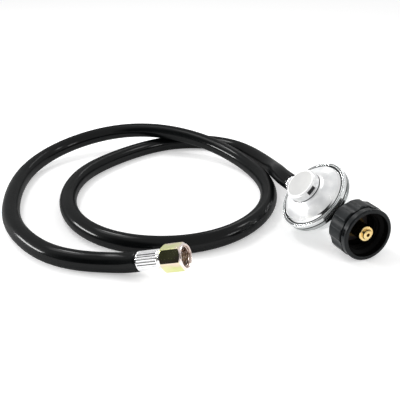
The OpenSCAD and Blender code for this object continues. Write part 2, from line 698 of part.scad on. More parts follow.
module end_ferrule() color("#d5d8da") at_flare() translate([-end_collar, 0, 0])
    crimped_sleeve(end_ferrule_length, flare_neck_r + pin_gap);

// ---- Flare end ----------------------------------------------------------------------------
flare_thread_r = flare_thread_d / 2;
flare_lead = 1.6; // the mouth opens at 45 degrees to the thread
relief_x = flare_lead + flare_thread_length;
relief_r = flare_thread_r + 0.9;
shoulder_x = 13;
cone_x = relief_x + 0.3;
cone_r = 6.2;
flare_disc_r = 7.6;

module flare_nut() color("#b9bf86") at_flare() difference() {
    corner_r = flare_hex / 2 / cos(30);
    intersection() {
        translate([-flare_nut_length, 0, 0]) rotate([0, 90, 0]) linear_extrude(flare_nut_length)
            rotate(30) circle(r = corner_r, $fn = 6);
        turned([
            [0, 0], [flare_land_d / 2 - 0.3, 0], [flare_land_d / 2, -0.3], [flare_land_d / 2, -1],
            [corner_r, -2.6], [corner_r, -flare_nut_length + 0.9], [corner_r - 0.9, -flare_nut_length],
            [0, -flare_nut_length]
        ]);
    }
    turned([
        [0, cut], [flare_thread_r + flare_lead, cut], [flare_thread_r + flare_lead, 0],
        [flare_thread_r, -flare_lead],
        [flare_thread_r, -relief_x], [relief_r, -relief_x], [relief_r, -shoulder_x],
        [flare_neck_r + running_gap, -shoulder_x], [flare_neck_r + running_gap, -flare_nut_length - cut],
        [0, -flare_nut_length - cut]
    ]);
}

module flare_stem() color("#b9ab7c") at_flare() difference() {
    turned(concat([
        [0, -cone_x], [flare_disc_r - 0.7, -cone_x], [flare_disc_r, -cone_x - 0.6],
        [flare_disc_r, -shoulder_x + 0.7], [flare_disc_r - 0.6, -shoulder_x + face_gap],
        [flare_neck_r, -shoulder_x + face_gap]
    ], tail_outline(flare_neck_r, -end_hose_end, -end_tip), [[0, -end_tip]]));
    turned([
        [0, cut - cone_x], [cone_r, cut - cone_x], [cone_r, -cone_x],
        [tail_bore_r, -cone_x - cone_r + tail_bore_r],
        [tail_bore_r, -end_tip - cut], [0, -end_tip - cut]
    ]);
}

// ---- Hose ---------------------------------------------------------------------------------
hose_r = hose_d / 2;
hose_bore_r = hose_bore_d / 2;
hose_sides = 12;
rings_per_span = 2;
lying = hose_r; // height of the hose's middle where it lies on the table

// The route's points pull a smooth curve past them. It leaves both sleeves straight.
function flare_point(back) = flare_place - back * flare_way;
function outlet_point(back) = [mouth_x - disc_back - back, axis_y, axis_z];
swell_run = 2.5; // the hose swells back to its full size this far behind a sleeve
end_straight = end_collar + end_ferrule_length + swell_run + 1.5;
outlet_straight = outlet_collar + outlet_ferrule_length + 3;
end_step = 10; // spacing of the route's points at either end
outlet_step = 18;
route = concat(
    [for (k = [-1 : 1]) flare_point(end_straight + k * end_step)],
    [
        [-2.5, -195, 7.9], [-11.5, -215, 8.6], [-33, -236, lying], [-68, -250, lying], [-110, -256, lying],
        [-156, -250, lying], [-203, -238, lying], [-247, -219, 8.5], [-282, -189, 11.5], [-301, -148, 17.5],
        [-299, -102, 24], [-277, -60, 26.25], [-243, -24, 22], [-202, 0, 14.5], [-158, 9, 9],
        [-112, 4, lying], [-67, -14, lying], [-30, -46, lying], [-7, -88, lying], [-6, -134, lying],
        [-28, -175, lying], [-68, -199, lying], [-117, -204, lying], [-165, -192, lying],
        [-205, -170, lying], [-232, -141.5, lying], [-259, -99.5, lying], [-278, -49, lying],
        [-266, -3, lying], [-231, 26.5, lying], [-182, 31, lying], [-137, 26, 11], [-107.5, 14, 19.9]
    ],
    [for (k = [1 : -1 : -1]) outlet_point(outlet_straight + k * outlet_step)]
);

// A point of the cubic spline of four route points, and its direction, at t from 0 to 1.
function spline_point(p, t) = (
    pow(1 - t, 3) * p[0] + (3 * pow(t, 3) - 6 * pow(t, 2) + 4) * p[1]
    + (-3 * pow(t, 3) + 3 * pow(t, 2) + 3 * t + 1) * p[2] + pow(t, 3) * p[3]
) / 6;
function spline_way(p, t) = (
    -pow(1 - t, 2) * p[0] + (3 * pow(t, 2) - 4 * t) * p[1]
    + (-3 * pow(t, 2) + 2 * t + 1) * p[2] + pow(t, 2) * p[3]
) / 2;
function unit(v) = v / norm(v);
function span_points(i) = [route[i], route[i + 1], route[i + 2], route[i + 3]];

// The hose as a list of [middle, direction, outer radius].
hose_rings = concat(
    [for (x = [end_hose_end, end_collar + end_ferrule_length]) [flare_point(x), -flare_way, squeezed_r]],
    [[flare_point(end_collar + end_ferrule_length + swell_run), -flare_way, hose_r]],
    [for (i = [0 : len(route) - 4]) for (k = [0 : rings_per_span - 1])
        let (p = span_points(i), t = k / rings_per_span) [spline_point(p, t), spline_way(p, t), hose_r]],
    [[outlet_point(outlet_straight), [1, 0, 0], hose_r]],
    [for (x = [outlet_collar + outlet_ferrule_length, outlet_hose_end])
        [outlet_point(x), [1, 0, 0], squeezed_r]]
);
hose_length = sum_list([for (k = [1 : len(hose_rings) - 1]) norm(hose_rings[k][0] - hose_rings[k - 1][0])]);
function sum_list(v, i = 0) = i < len(v) ? v[i] + sum_list(v, i + 1) : 0;

// Points of one ring across the hose; a corner of the ring points straight down.
function hose_ring(middle, way, r) =
    let (t = unit(way), side = unit(cross(t, [0, 0, 1])), up = cross(side, t))
    [for (j = [0 : hose_sides - 1]) let (a = 360 * j / hose_sides)
        middle + r * (cos(a) * side + sin(a) * up)];

module hose() color("#1f2426") {
    n = len(hose_rings);
    s = hose_sides;
    points = concat(
        [for (ring = hose_rings) each hose_ring(ring[0], ring[1], ring[2])],
        [for (ring = hose_rings) each hose_ring(ring[0], ring[1], hose_bore_r)]
    );
    bore = n * s;
    last = (n - 1) * s;
    echo("hose length", hose_length, "rings", n);
    polyhedron(points, concat(
        ring_faces(n, s, true, 0),
        ring_faces(n, s, false, bore),
        [for (j = [0 : s - 1]) let (b = (j + 1) % s) each [[j, bore + j, bore + b], [j, bore + b, b]]],
        [for (j = [0 : s - 1]) let (b = (j + 1) % s)
            each [[last + j, bore + last + b, bore + last + j], [last + j, last + b, bore + last + b]]]
    ));
}

lower_body();
upper_cover();
vent_screen();
closing_cap();
adjusting_screw();
main_spring();
slip_ring();
diaphragm();
diaphragm_plate();
pusher();
relief_spring();
relief_retainer();
lever();
lever_pin();
valve_stem();
seat_disc();
valve_seat();
inlet_nipple();
flow_poppet();
flow_spring();
spring_keeper();
coupling_nut();
thermal_bushing();
outlet_stem();
outlet_ferrule();
hose();
end_ferrule();
flare_stem();
flare_nut();
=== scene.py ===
"""Looks of the low-pressure gas regulator with its hand nut, hose and flare nut.

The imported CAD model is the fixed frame. The pieces that show are modelled again in fine mesh, in metres,
where the frame says. The vent's screen and the pieces inside keep their CAD solids and get better finishes.
"""

import json
import math

import bmesh
import bpy
from mathutils import Matrix, Vector


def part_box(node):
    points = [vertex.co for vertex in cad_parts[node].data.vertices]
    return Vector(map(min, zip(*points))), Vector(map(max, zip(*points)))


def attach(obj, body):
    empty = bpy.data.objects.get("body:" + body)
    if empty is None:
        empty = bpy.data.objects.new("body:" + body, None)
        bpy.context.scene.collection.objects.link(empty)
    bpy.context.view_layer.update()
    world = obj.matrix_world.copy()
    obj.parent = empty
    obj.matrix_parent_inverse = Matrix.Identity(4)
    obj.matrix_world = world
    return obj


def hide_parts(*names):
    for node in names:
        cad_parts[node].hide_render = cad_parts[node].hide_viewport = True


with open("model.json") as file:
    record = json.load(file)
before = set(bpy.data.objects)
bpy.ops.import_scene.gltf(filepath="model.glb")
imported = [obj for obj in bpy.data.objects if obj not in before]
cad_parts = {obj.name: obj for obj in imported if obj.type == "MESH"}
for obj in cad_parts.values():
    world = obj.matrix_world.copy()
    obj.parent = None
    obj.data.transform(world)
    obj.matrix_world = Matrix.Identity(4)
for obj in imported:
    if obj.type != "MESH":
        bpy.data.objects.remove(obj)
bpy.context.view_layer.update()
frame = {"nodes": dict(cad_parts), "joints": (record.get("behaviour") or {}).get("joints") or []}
joint = {j["name"]: j for j in frame["joints"]}
MM = 0.001

# ---- Camera, table and light --------------------------------------------------------------
# The object lies on a plain white table in a pale room. A long low lamp on the left is the strongest, a
# broad one stands high at the back left, and small ones round the table draw lines of light on the hose.

FOCAL_PIXELS = 650
PICTURE_SIDE = 400
SENSOR_WIDTH = 36
CAMERA_PLACE = (0.4488, -0.2962, 0.2540)
CAMERA_LOOK = Vector((-0.85494, 0.34399, -0.38827))
camera_data = bpy.data.cameras.new("camera")
camera_data.sensor_width = SENSOR_WIDTH
camera_data.lens = SENSOR_WIDTH * FOCAL_PIXELS / PICTURE_SIDE
camera_data.dof.use_dof = False
camera = bpy.data.objects.new("camera", camera_data)
camera.location = CAMERA_PLACE
camera.rotation_euler = CAMERA_LOOK.to_track_quat("-Z", "Y").to_euler()
bpy.context.scene.collection.objects.link(camera)
bpy.context.scene.camera = camera
bpy.context.scene.view_settings.view_transform = "Standard"


def link_to(tree, value, socket):
    """Joins an output to a socket, or sets the socket to a plain value."""
    if isinstance(value, bpy.types.NodeSocket):
        tree.links.new(value, socket)
    else:
        socket.default_value = value


def maths(tree, operation, a, b=None):
    """A Math node on two values or outputs."""
    node = tree.nodes.new("ShaderNodeMath")
    node.operation = operation
    link_to(tree, a, node.inputs[0])
    if b is not None:
        link_to(tree, b, node.inputs[1])
    return node.outputs[0]


def ray_kinds(tree):
    """Two outputs: 1 for rays from the camera, and 1 for camera, glossy and transmission rays."""
    path = tree.nodes.new("ShaderNodeLightPath")
    seen = maths(tree, "ADD", path.outputs["Is Camera Ray"], path.outputs["Is Glossy Ray"])
    seen = maths(tree, "ADD", seen, path.outputs["Is Transmission Ray"])
    return path.outputs["Is Camera Ray"], maths(tree, "MINIMUM", seen, 1.0)


TABLE_COLOUR = (0.86, 0.86, 0.86, 1)
TABLE_GLOW = 0.38
TABLE_HALF = 6.0
table_material = bpy.data.materials.new("table")
table_material.use_nodes = True
tree = table_material.node_tree
tree.nodes.clear()
output = tree.nodes.new("ShaderNodeOutputMaterial")
diffuse = tree.nodes.new("ShaderNodeBsdfDiffuse")
diffuse.inputs["Color"].default_value = TABLE_COLOUR
glow = tree.nodes.new("ShaderNodeEmission")
link_to(tree, maths(tree, "MULTIPLY", ray_kinds(tree)[1], TABLE_GLOW), glow.inputs["Strength"])
add = tree.nodes.new("ShaderNodeAddShader")
tree.links.new(diffuse.outputs[0], add.inputs[0])
tree.links.new(glow.outputs[0], add.inputs[1])
tree.links.new(add.outputs[0], output.inputs[0])
table_mesh = bpy.data.meshes.new("table")
table_corners = [(x * TABLE_HALF, y * TABLE_HALF, 0) for x, y in ((-1, -1), (1, -1), (1, 1), (-1, 1))]
table_mesh.from_pydata(table_corners, [], [(0, 1, 2, 3)])
table_mesh.materials.append(table_material)
table = bpy.data.objects.new("table", table_mesh)
bpy.context.scene.collection.objects.link(table)


def heading(azimuth, rise):
    """The direction at an azimuth and a height in degrees."""
    lift = Matrix.Rotation(math.radians(rise), 3, "Y")
    swing = Matrix.Rotation(math.radians(-azimuth), 3, "Z")
    return Vector((1, 0, 0)) @ (lift @ swing)


# The room: white where it is seen straight on, and in gloss pale all round but for a dark doorway.
ROOM_LIGHT = 0.80
ROOM_GLOSS = 0.95
DOORWAY_GLOSS = 0.03
DOORWAY = heading(-62, 12)
DOORWAY_EDGE = math.cos(math.radians(52))
DOORWAY_CORE = math.cos(math.radians(32))
world = bpy.data.worlds.new("room")
bpy.context.scene.world = world
world.use_nodes = True
tree = world.node_tree
tree.nodes.clear()
output = tree.nodes.new("ShaderNodeOutputWorld")
background = tree.nodes.new("ShaderNodeBackground")
coordinates = tree.nodes.new("ShaderNodeTexCoord")
towards = tree.nodes.new("ShaderNodeVectorMath")
towards.operation = "DOT_PRODUCT"
towards.inputs[1].default_value = DOORWAY
tree.links.new(coordinates.outputs["Generated"], towards.inputs[0])
gloss = tree.nodes.new("ShaderNodeMapRange")
tree.links.new(towards.outputs["Value"], gloss.inputs["Value"])
gloss.inputs["From Min"].default_value = DOORWAY_EDGE
gloss.inputs["From Max"].default_value = DOORWAY_CORE
gloss.inputs["To Min"].default_value = ROOM_GLOSS
gloss.inputs["To Max"].default_value = DOORWAY_GLOSS


def blended(tree, factor, first, second):
    """A mix of two numbers."""
    node = tree.nodes.new("ShaderNodeMix")
    link_to(tree, factor, node.inputs["Factor"])
    link_to(tree, first, node.inputs[2])
    link_to(tree, second, node.inputs[3])
    return node.outputs[0]


camera_ray, seen = ray_kinds(tree)
level = blended(tree, seen, ROOM_LIGHT, gloss.outputs[0])
tree.links.new(blended(tree, camera_ray, level, 1.0), background.inputs["Strength"])
tree.links.new(background.outputs[0], output.inputs[0])

MIDDLE = Vector((-0.12, -0.10, 0.0))
LAMP_DISTANCE = 1.25


def lamp(name, azimuth, rise, size, power):
    """A soft rectangular lamp, in metres and watts, that looks at the middle of the hose's loops."""
    data = bpy.data.lights.new(name, "AREA")
    data.shape = "RECTANGLE"
    data.size, data.size_y = size
    data.energy = power
    thing = bpy.data.objects.new(name, data)
    thing.location = MIDDLE + heading(azimuth, rise) * LAMP_DISTANCE
    thing.rotation_euler = (-heading(azimuth, rise)).to_track_quat("-Z", "Y").to_euler()
    thing.visible_camera = False
    bpy.context.scene.collection.objects.link(thing)


lamp("key_lamp", -140, 60, (0.50, 0.50), 2.2)
lamp("left_lamp", -114, 13, (0.70, 0.16), 15.0)
lamp("far_lamp", -162, 55, (0.15, 0.25), 2.2)
lamp("back_lamp", 147, 36, (0.06, 0.45), 0.7)
lamp("right_lamp", 55, 20, (0.30, 0.15), 1.6)
lamp("side_lamp", 89, 41, (0.20, 0.15), 1.0)


# ---- Hand nut -----------------------------------------------------------------------------
# A moulded plastic nut that screws on the cylinder valve by hand: a round front rim, eight grip
# lobes behind a groove, small pockets that lighten the mould, and a coarse thread in its mouth.

inlet_y, inlet_z = joint["coupling_spin"]["pos_m"][1:]
mouth_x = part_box("coupling_nut")[1].x
ON_INLET = Matrix.Translation((mouth_x, inlet_y, inlet_z))


NEARLY_STRAIGHT = math.radians(165)
MOST_OF_A_SIDE = 0.45
SHARP_EDGE = 32


def fillet(points, radius, steps=4):
    """A closed outline of (along, radius) points with its corners rounded, all in millimetres."""
    made = []
    count = len(points)
    for i, corner in enumerate(points):
        here = Vector(corner)
        before = Vector(points[i - 1]) - here
        after = Vector(points[(i + 1) % count]) - here
        turn = before.angle(after, math.pi)
        shorter = MOST_OF_A_SIDE * min(before.length, after.length)
        reach = min(radius / max(math.tan(turn / 2), 1e-6), shorter)
        if turn > NEARLY_STRAIGHT or reach < 1e-4 or here.y <= 0:
            made.append(here)
            continue
        start = here + before.normalized() * reach
        end = here + after.normalized() * reach
        for k in range(steps + 1):
            t = k / steps
            made.append((1 - t) ** 2 * start + 2 * t * (1 - t) * here + t * t * end)
    return [(p.x, p.y) for p in made]


def split_long(points, step):
    """The outline with no side longer than a step."""
    made = []
    for i, (x, r) in enumerate(points):
        nx, nr = points[(i + 1) % len(points)]
        parts = max(1, math.ceil(math.hypot(nx - x, nr - r) / step))
        made += [(x + (nx - x) * k / parts, r + (nr - r) * k / parts) for k in range(parts)]
    return made


def new_object(name, mesh_points, faces, place, sharp=SHARP_EDGE):
    """A smooth-shaded object from points in millimetres, placed in the frame."""
    mesh = bpy.data.meshes.new(name)
    mesh.from_pydata([place @ (Vector(p) * MM) for p in mesh_points], [], faces)
    work = bmesh.new()
    work.from_mesh(mesh)
    bmesh.ops.remove_doubles(work, verts=work.verts, dist=1e-7)
    bmesh.ops.recalc_face_normals(work, faces=work.faces)
    work.to_mesh(mesh)
    work.free()
    mesh.shade_smooth()
    mesh.set_sharp_from_angle(angle=math.radians(sharp))
    thing = bpy.data.objects.new(name, mesh)
    bpy.context.scene.collection.objects.link(thing)
    return thing


def turned(name, place, outline, segments=96, shape=None):
    """A closed outline of (along, radius) millimetres turned about the place's X axis.

    shape(along, radius, angle) may change the radius point by point, for flutes, lobes and threads.
    """
    points, faces = [], []
    rings = len(outline)
    for x, r in outline:
        for j in range(segments):
            angle = 2 * math.pi * j / segments
            q = shape(x, r, angle) if shape and r > 0 else r
            points.append((x, q * math.cos(angle), q * math.sin(angle)))
    for i in range(rings):
        k = (i + 1) % rings
        if outline[i][1] <= 0 and outline[k][1] <= 0:
            continue
        for j in range(segments):
            n = (j + 1) % segments
            corners = [i * segments + j, i * segments + n, k * segments + n, k * segments + j]
            if outline[i][1] <= 0:
                corners = [corners[0], corners[2], corners[3]]
            elif outline[k][1] <= 0:
                corners = [corners[0], corners[1], corners[2]]
            faces.append(corners)
    return new_object(name, points, faces, place)


def soft_step(value, low, high):
    """0 below low, 1 above high, and a smooth rise between them."""
    t = min(1.0, max(0.0, (value - low) / (high - low)))
    return t * t * (3 - 2 * t)


FLANK_FOOT, FLANK_TOP = 0.14, 0.34


def thread_shape(pitch, depth, x_from, x_to, limit, shape=None):
    """Radius change of an inner thread whose crests reach in by depth; limit keeps it to the bore."""

    def cut(x, r, angle):
        if r > limit or not x_from <= x <= x_to:
            return shape(x, r, angle) if shape else r
        turn = (x / pitch - angle / (2 * math.pi)) % 1.0
        crest = soft_step(0.5 - abs(turn - 0.5), FLANK_FOOT, FLANK_TOP)
        runs_in = soft_step(x, x_from, x_from + pitch)
        runs_out = 1 - soft_step(x, x_to - pitch, x_to)
        return r - depth * crest * min(runs_in, runs_out)

    return cut


NUT_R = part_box("coupling_nut")[1].z / MM - inlet_z / MM
NUT_LENGTH = 28
FRONT_R = NUT_R - 0.5
RIM_W = 6
GROOVE = 1.5
GROOVE_R = NUT_R - 2.3
GRIP_BACK = NUT_LENGTH - 4
LOBES = 8
LOBE_DEPTH = 1.4
SCALLOP_R = 12
POCKET_HALF_ANGLE = math.radians(7)
POCKET_TURN = math.radians(168)
POCKET_FROM = 2.2
POCKET_FLOOR_R = NUT_R - 3.2
MOUTH_R = 19.2
MOUTH_DEPTH = 5.5
BORE_R = 16.4
BORE_END = -19
MELTING_RING_R = 14.05
BACK_WALL = -25
NECK_HOLE_R = 6.6
nut_outline = fillet([
    (0, MOUTH_R + 0.3), (0, FRONT_R - 0.9), (-0.9, FRONT_R), (-RIM_W + 0.6, FRONT_R), (-RIM_W, FRONT_R - 0.6),
    (-RIM_W, GROOVE_R), (-RIM_W - GROOVE, GROOVE_R), (-RIM_W - GROOVE, NUT_R - 0.8),
    (-RIM_W - GROOVE - 0.8, NUT_R), (-GRIP_BACK + 1.2, NUT_R), (-GRIP_BACK, NUT_R - 1.5),
    (-NUT_LENGTH + 2.2, NUT_R - 2.6), (-NUT_LENGTH + 0.5, NUT_R - 6), (-NUT_LENGTH, NUT_R - 6.6),
    (-NUT_LENGTH, NECK_HOLE_R), (BACK_WALL, NECK_HOLE_R), (BACK_WALL, MELTING_RING_R),
    (BORE_END, MELTING_RING_R), (BORE_END, BORE_R), (-MOUTH_DEPTH - 2, BORE_R), (-MOUTH_DEPTH, MOUTH_R),
    (-0.3, MOUTH_R),
], 0.35)


def grip(x, r, angle):
    """Lobes along the grip, and the four pockets in the side of the front rim."""
    if r < MOUTH_R + 0.4:
        return r
    behind_rim = soft_step(-x, RIM_W + GROOVE - 0.05, RIM_W + GROOVE + 0.05)
    before_back = 1 - soft_step(-x, GRIP_BACK + 0.6, GRIP_BACK + 1.6)
    share = ((angle * LOBES / (2 * math.pi)) % 1.0 - 0.5) * 2 * math.pi / LOBES
    centre = NUT_R - LOBE_DEPTH + SCALLOP_R
    aside = centre * math.sin(share)
    valley = NUT_R
    if abs(aside) < SCALLOP_R:
        valley = min(NUT_R, centre * math.cos(share) - math.sqrt(SCALLOP_R**2 - aside**2))
    q = r - behind_rim * before_back * max(0, r - valley)
    quarter = (angle - POCKET_TURN + math.pi / 4) % (math.pi / 2) - math.pi / 4
    in_pocket = 1 - soft_step(abs(quarter), POCKET_HALF_ANGLE - 0.02, POCKET_HALF_ANGLE + 0.02)
    in_pocket *= soft_step(-x, POCKET_FROM, POCKET_FROM + 0.1)
    in_pocket *= 1 - soft_step(-x, RIM_W + 0.5, RIM_W + 0.7)
    return q - in_pocket * max(0, q - POCKET_FLOOR_R)


NUT_SEGMENTS = 288
NUT_PITCH = 3.2
NUT_THREAD_DEPTH = 1.1
nut_thread = thread_shape(NUT_PITCH, NUT_THREAD_DEPTH, BORE_END + 0.5, -7.0, BORE_R + NUT_THREAD_DEPTH, grip)
nut = turned("hand_nut", ON_INLET, split_long(nut_outline, 0.4), NUT_SEGMENTS, nut_thread)
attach(nut, "hand_nut")
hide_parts("coupling_nut")


def shader_tree(name):
    """A new material, its node tree and its Principled shader."""
    material = bpy.data.materials.new(name)
    material.use_nodes = True
    return material, material.node_tree, material.node_tree.nodes["Principled BSDF"]


def group_tree(name, inputs, outputs):
    """An empty node group with named value sockets; inputs are (name, first value)."""
    group = bpy.data.node_groups.new(name, "ShaderNodeTree")
    for socket, value in inputs:
        made = group.interface.new_socket(socket, in_out="INPUT", socket_type="NodeSocketFloat")
        made.default_value = value
    for socket in outputs:
        group.interface.new_socket(socket, in_out="OUTPUT", socket_type="NodeSocketFloat")
    return group, group.nodes.new("NodeGroupInput"), group.nodes.new("NodeGroupOutput")


def noise(tree, scale, detail=4.0, stretch=None):
    """A Noise texture in the object's own place; stretch pulls it along the axes."""
    where = tree.nodes.new("ShaderNodeTexCoord").outputs["Object"]
    if stretch:
        mapping = tree.nodes.new("ShaderNodeMapping")
        mapping.inputs["Scale"].default_value = stretch
        tree.links.new(where, mapping.inputs["Vector"])
        where = mapping.outputs[0]
    texture = tree.nodes.new("ShaderNodeTexNoise")
    tree.links.new(where, texture.inputs["Vector"])
    link_to(tree, scale, texture.inputs["Scale"])
    texture.inputs["Detail"].default_value = detail
    return texture.outputs["Fac"]


def remap(tree, value, low, high, to_low, to_high):
    """A Map Range node with a smooth ramp."""
    node = tree.nodes.new("ShaderNodeMapRange")
    node.interpolation_type = "SMOOTHSTEP"
    link_to(tree, value, node.inputs["Value"])
    link_to(tree, low, node.inputs["From Min"])
    link_to(tree, high, node.inputs["From Max"])
    link_to(tree, to_low, node.inputs["To Min"])
    link_to(tree, to_high, node.inputs["To Max"])
    return node.outputs[0]


# The surface group: fine grain for bump and gloss, and soft handling marks for gloss and shade.
surface, surface_in, surface_out = group_tree(
    "grain_and_marks",
    [("Grain Scale", 900.0), ("Mark Scale", 60.0), ("Gloss Low", 0.3), ("Gloss High", 0.45)],
    ["Height", "Roughness", "Shade"],
)
fine = noise(surface, surface_in.outputs["Grain Scale"], 3.0)
marks = noise(surface, surface_in.outputs["Mark Scale"], 5.0)
surface.links.new(fine, surface_out.inputs["Height"])
GRAIN_SHARE = 0.35
grain_part = maths(surface, "MULTIPLY", fine, GRAIN_SHARE)
mark_part = maths(surface, "MULTIPLY", marks, 1 - GRAIN_SHARE)
mixed = maths(surface, "ADD", grain_part, mark_part)
surface.links.new(
    remap(surface, mixed, 0.35, 0.65, surface_in.outputs["Gloss Low"], surface_in.outputs["Gloss High"]),
    surface_out.inputs["Roughness"],
)
surface.links.new(remap(surface, marks, 0.3, 0.7, 0.0, 1.0), surface_out.inputs["Shade"])

# The edge group: uneven patches on outer edges, where handling polishes a surface, and 0 elsewhere.
edges, edges_in, edges_out = group_tree("edge_wear", [("Low", 0.52), ("High", 0.58)], ["Mask"])
pointed = edges.nodes.new("ShaderNodeNewGeometry").outputs["Pointiness"]
worn = remap(edges, pointed, edges_in.outputs["Low"], edges_in.outputs["High"], 0.0, 1.0)
edges.links.new(maths(edges, "MULTIPLY", worn, noise(edges, 500.0, 3.0)), edges_out.inputs["Mask"])

# The recess group: 1 in grooves and inner corners and 0 elsewhere; it marks where shade is painted.
recess, recess_in, recess_out = group_tree("recess_shade", [("Low", 0.40), ("High", 0.485)], ["Mask"])
hollow = recess.nodes.new("ShaderNodeNewGeometry").outputs["Pointiness"]
shade_mask = remap(recess, hollow, recess_in.outputs["Low"], recess_in.outputs["High"], 1.0, 0.0)
recess.links.new(shade_mask, recess_out.inputs["Mask"])


def use_group(tree, group, **values):
    """Places a node group with its own values, whose spaces are written as underscores."""
    node = tree.nodes.new("ShaderNodeGroup")
    node.node_tree = group
    for key, value in values.items():
        link_to(tree, value, node.inputs[key.replace("_", " ")])
    return node.outputs


def colours(tree, factor, first, second):
    """A mix of two colours."""
    node = tree.nodes.new("ShaderNodeMix")
    node.data_type = "RGBA"
    link_to(tree, factor, node.inputs["Factor"])
    link_to(tree, first if isinstance(first, bpy.types.NodeSocket) else (*first, 1), node.inputs[6])
    link_to(tree, second if isinstance(second, bpy.types.NodeSocket) else (*second, 1), node.inputs[7])
    return node.outputs[2]


def bump(tree, shader, height, strength, distance):
    """Feeds a height into the shader's normal; distance is in metres."""
    node = tree.nodes.new("ShaderNodeBump")
    node.inputs["Strength"].default_value = strength
    node.inputs["Distance"].default_value = distance
    tree.links.new(height, node.inputs["Height"])
    tree.links.new(node.outputs[0], shader.inputs["Normal"])


def surfaced(
    name, dark, light, gloss, grain, metallic=0.0,
    worn=None, wear=0.0, height=0.00002, strength=0.4, recess_shade_colour=None,
):
    """A finish with two close shades, varied gloss, fine grain, lighter edges and painted shade in grooves.

    gloss is (least, most) roughness, and grain is the scale of (grain, handling marks).
    """
    material, tree, shader = shader_tree(name)
    parts = use_group(
        tree, surface,
        Grain_Scale=grain[0], Mark_Scale=grain[1], Gloss_Low=gloss[0], Gloss_High=gloss[1],
    )
    base = colours(tree, parts["Shade"], dark, light)
    if worn:
        mask = maths(tree, "MULTIPLY", use_group(tree, edges)["Mask"], wear)
        base = colours(tree, mask, base, worn)
    # Painted shade: the recess mask darkens grooves and inner corners.
    if recess_shade_colour:
        base = colours(tree, use_group(tree, recess)["Mask"], base, recess_shade_colour)
    tree.links.new(base, shader.inputs["Base Color"])
    tree.links.new(parts["Roughness"], shader.inputs["Roughness"])
    shader.inputs["Metallic"].default_value = metallic
    bump(tree, shader, parts["Height"], strength, height)
    return material, tree, shader


nut_plastic, tree, shader = surfaced(
    "nut_plastic", (0.006, 0.0072, 0.008), (0.010, 0.012, 0.013), (0.28, 0.42), (1400, 40),
    worn=(0.10, 0.11, 0.12), wear=0.6,
)
shader.inputs["Specular IOR Level"].default_value = 0.18
nut.data.materials.append(nut_plastic)


def ring_finish(thing, place, material, test):
    """Gives the faces whose middle (along, radius) in millimetres passes a test another finish."""
    thing.data.materials.append(material)
    index = len(thing.data.materials) - 1
    back = place.inverted()
    for face in thing.data.polygons:
        middle = back @ face.center / MM
        if test(middle.x, math.hypot(middle.y, middle.z)):
            face.material_index = index


# The inside of the nut and its pockets are left dull from the mould, and painted darker than the outside as
# painted shade.
nut_inside_shade, tree, shader = surfaced(
    "nut_inside_shade", (0.0015, 0.0016, 0.0016), (0.003, 0.003, 0.003), (0.45, 0.6), (1400, 60),
)
shader.inputs["Specular IOR Level"].default_value = 0.05
ring_finish(nut, ON_INLET, nut_inside_shade, lambda x, r: (
    (r < MOUTH_R + 0.15 and x < -0.4)
    or (MOUTH_R + 0.3 < r < FRONT_R - 0.9 and -RIM_W - 0.2 < x < -POCKET_FROM)
))

# The ring in the nut that melts in a fire is plain dark plastic.
bushing_plastic, *_ = surfaced(
    "bushing_plastic", (0.010, 0.005, 0.004), (0.014, 0.007, 0.006), (0.45, 0.6), (900, 50),
)


def repaint(node, material):
    """Gives a CAD node that stays as it is a better finish."""
    mesh = frame["nodes"][node].data
    mesh.materials.clear()
    mesh.materials.append(material)


repaint("thermal_bushing", bushing_plastic)


# ---- Inlet nipple -------------------------------------------------------------------------
# Turned from brass bar: a rounded nose with a small gas hole, the plug that enters the valve, the
# flange that the nut pulls on, a hexagon for the spanner, and the end in the boss, left plain.


def hex_radius(flats, angle):
    """Distance from the axis to a hexagon's side, with flats above and below."""
    return flats / 2 / math.cos((angle % (math.pi / 3)) - math.pi / 6)


def hex_shape(flats, x_from, x_to, above):
    """Cuts what stands beyond the given radius to a hexagon between two places."""

    def cut(x, r, angle):
        if r > above and x_from <= x <= x_to:
            return min(r, hex_radius(flats, angle))
        return r

    return cut


NIPPLE_HEX = 16
HEX_CORNER = NIPPLE_HEX / 2 / math.cos(math.pi / 6)
HEX_FRONT, HEX_BACK = -28.6, -34.6
NOSE_FRONT, NOSE_BACK, NOSE_R = -0.5, -3.0, 4.4
GAS_HOLE_R = 1.5
PLUG_R = 6.6
FLANGE_FRONT, FLANGE_BACK, FLANGE_R = -19, -21.5, 9
SHANK_R = 6.5
THREAD_R = 6.45
HEX_CUT_R = 6.7
NIPPLE_BACK = -44
PASSAGE_R = 3.2
nipple_outline = fillet([
    (NOSE_FRONT, GAS_HOLE_R), (NOSE_FRONT, 3.0), (-0.9, 4.0), (-1.8, NOSE_R), (NOSE_BACK, NOSE_R),
    (NOSE_BACK, PLUG_R - 0.5), (NOSE_BACK - 0.5, PLUG_R), (FLANGE_FRONT, PLUG_R), (FLANGE_FRONT, FLANGE_R),
    (FLANGE_BACK, FLANGE_R), (FLANGE_BACK, SHANK_R), (HEX_FRONT, SHANK_R), (HEX_FRONT, NIPPLE_HEX / 2),
    (HEX_FRONT - 0.7, HEX_CORNER - 0.1), (HEX_BACK + 0.7, HEX_CORNER - 0.1), (HEX_BACK, NIPPLE_HEX / 2),
    (HEX_BACK, THREAD_R), (NIPPLE_BACK + 1, THREAD_R), (NIPPLE_BACK, 5.5), (NIPPLE_BACK, PASSAGE_R),
    (-6, PASSAGE_R), (-4.3, GAS_HOLE_R),
], 0.2)
nipple = turned(
    "brass_nipple", ON_INLET, split_long(nipple_outline, 0.5), 180,
    hex_shape(NIPPLE_HEX, HEX_BACK - 0.05, HEX_FRONT + 0.05, HEX_CUT_R),
)
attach(nipple, "regulator")
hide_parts("inlet_nipple")


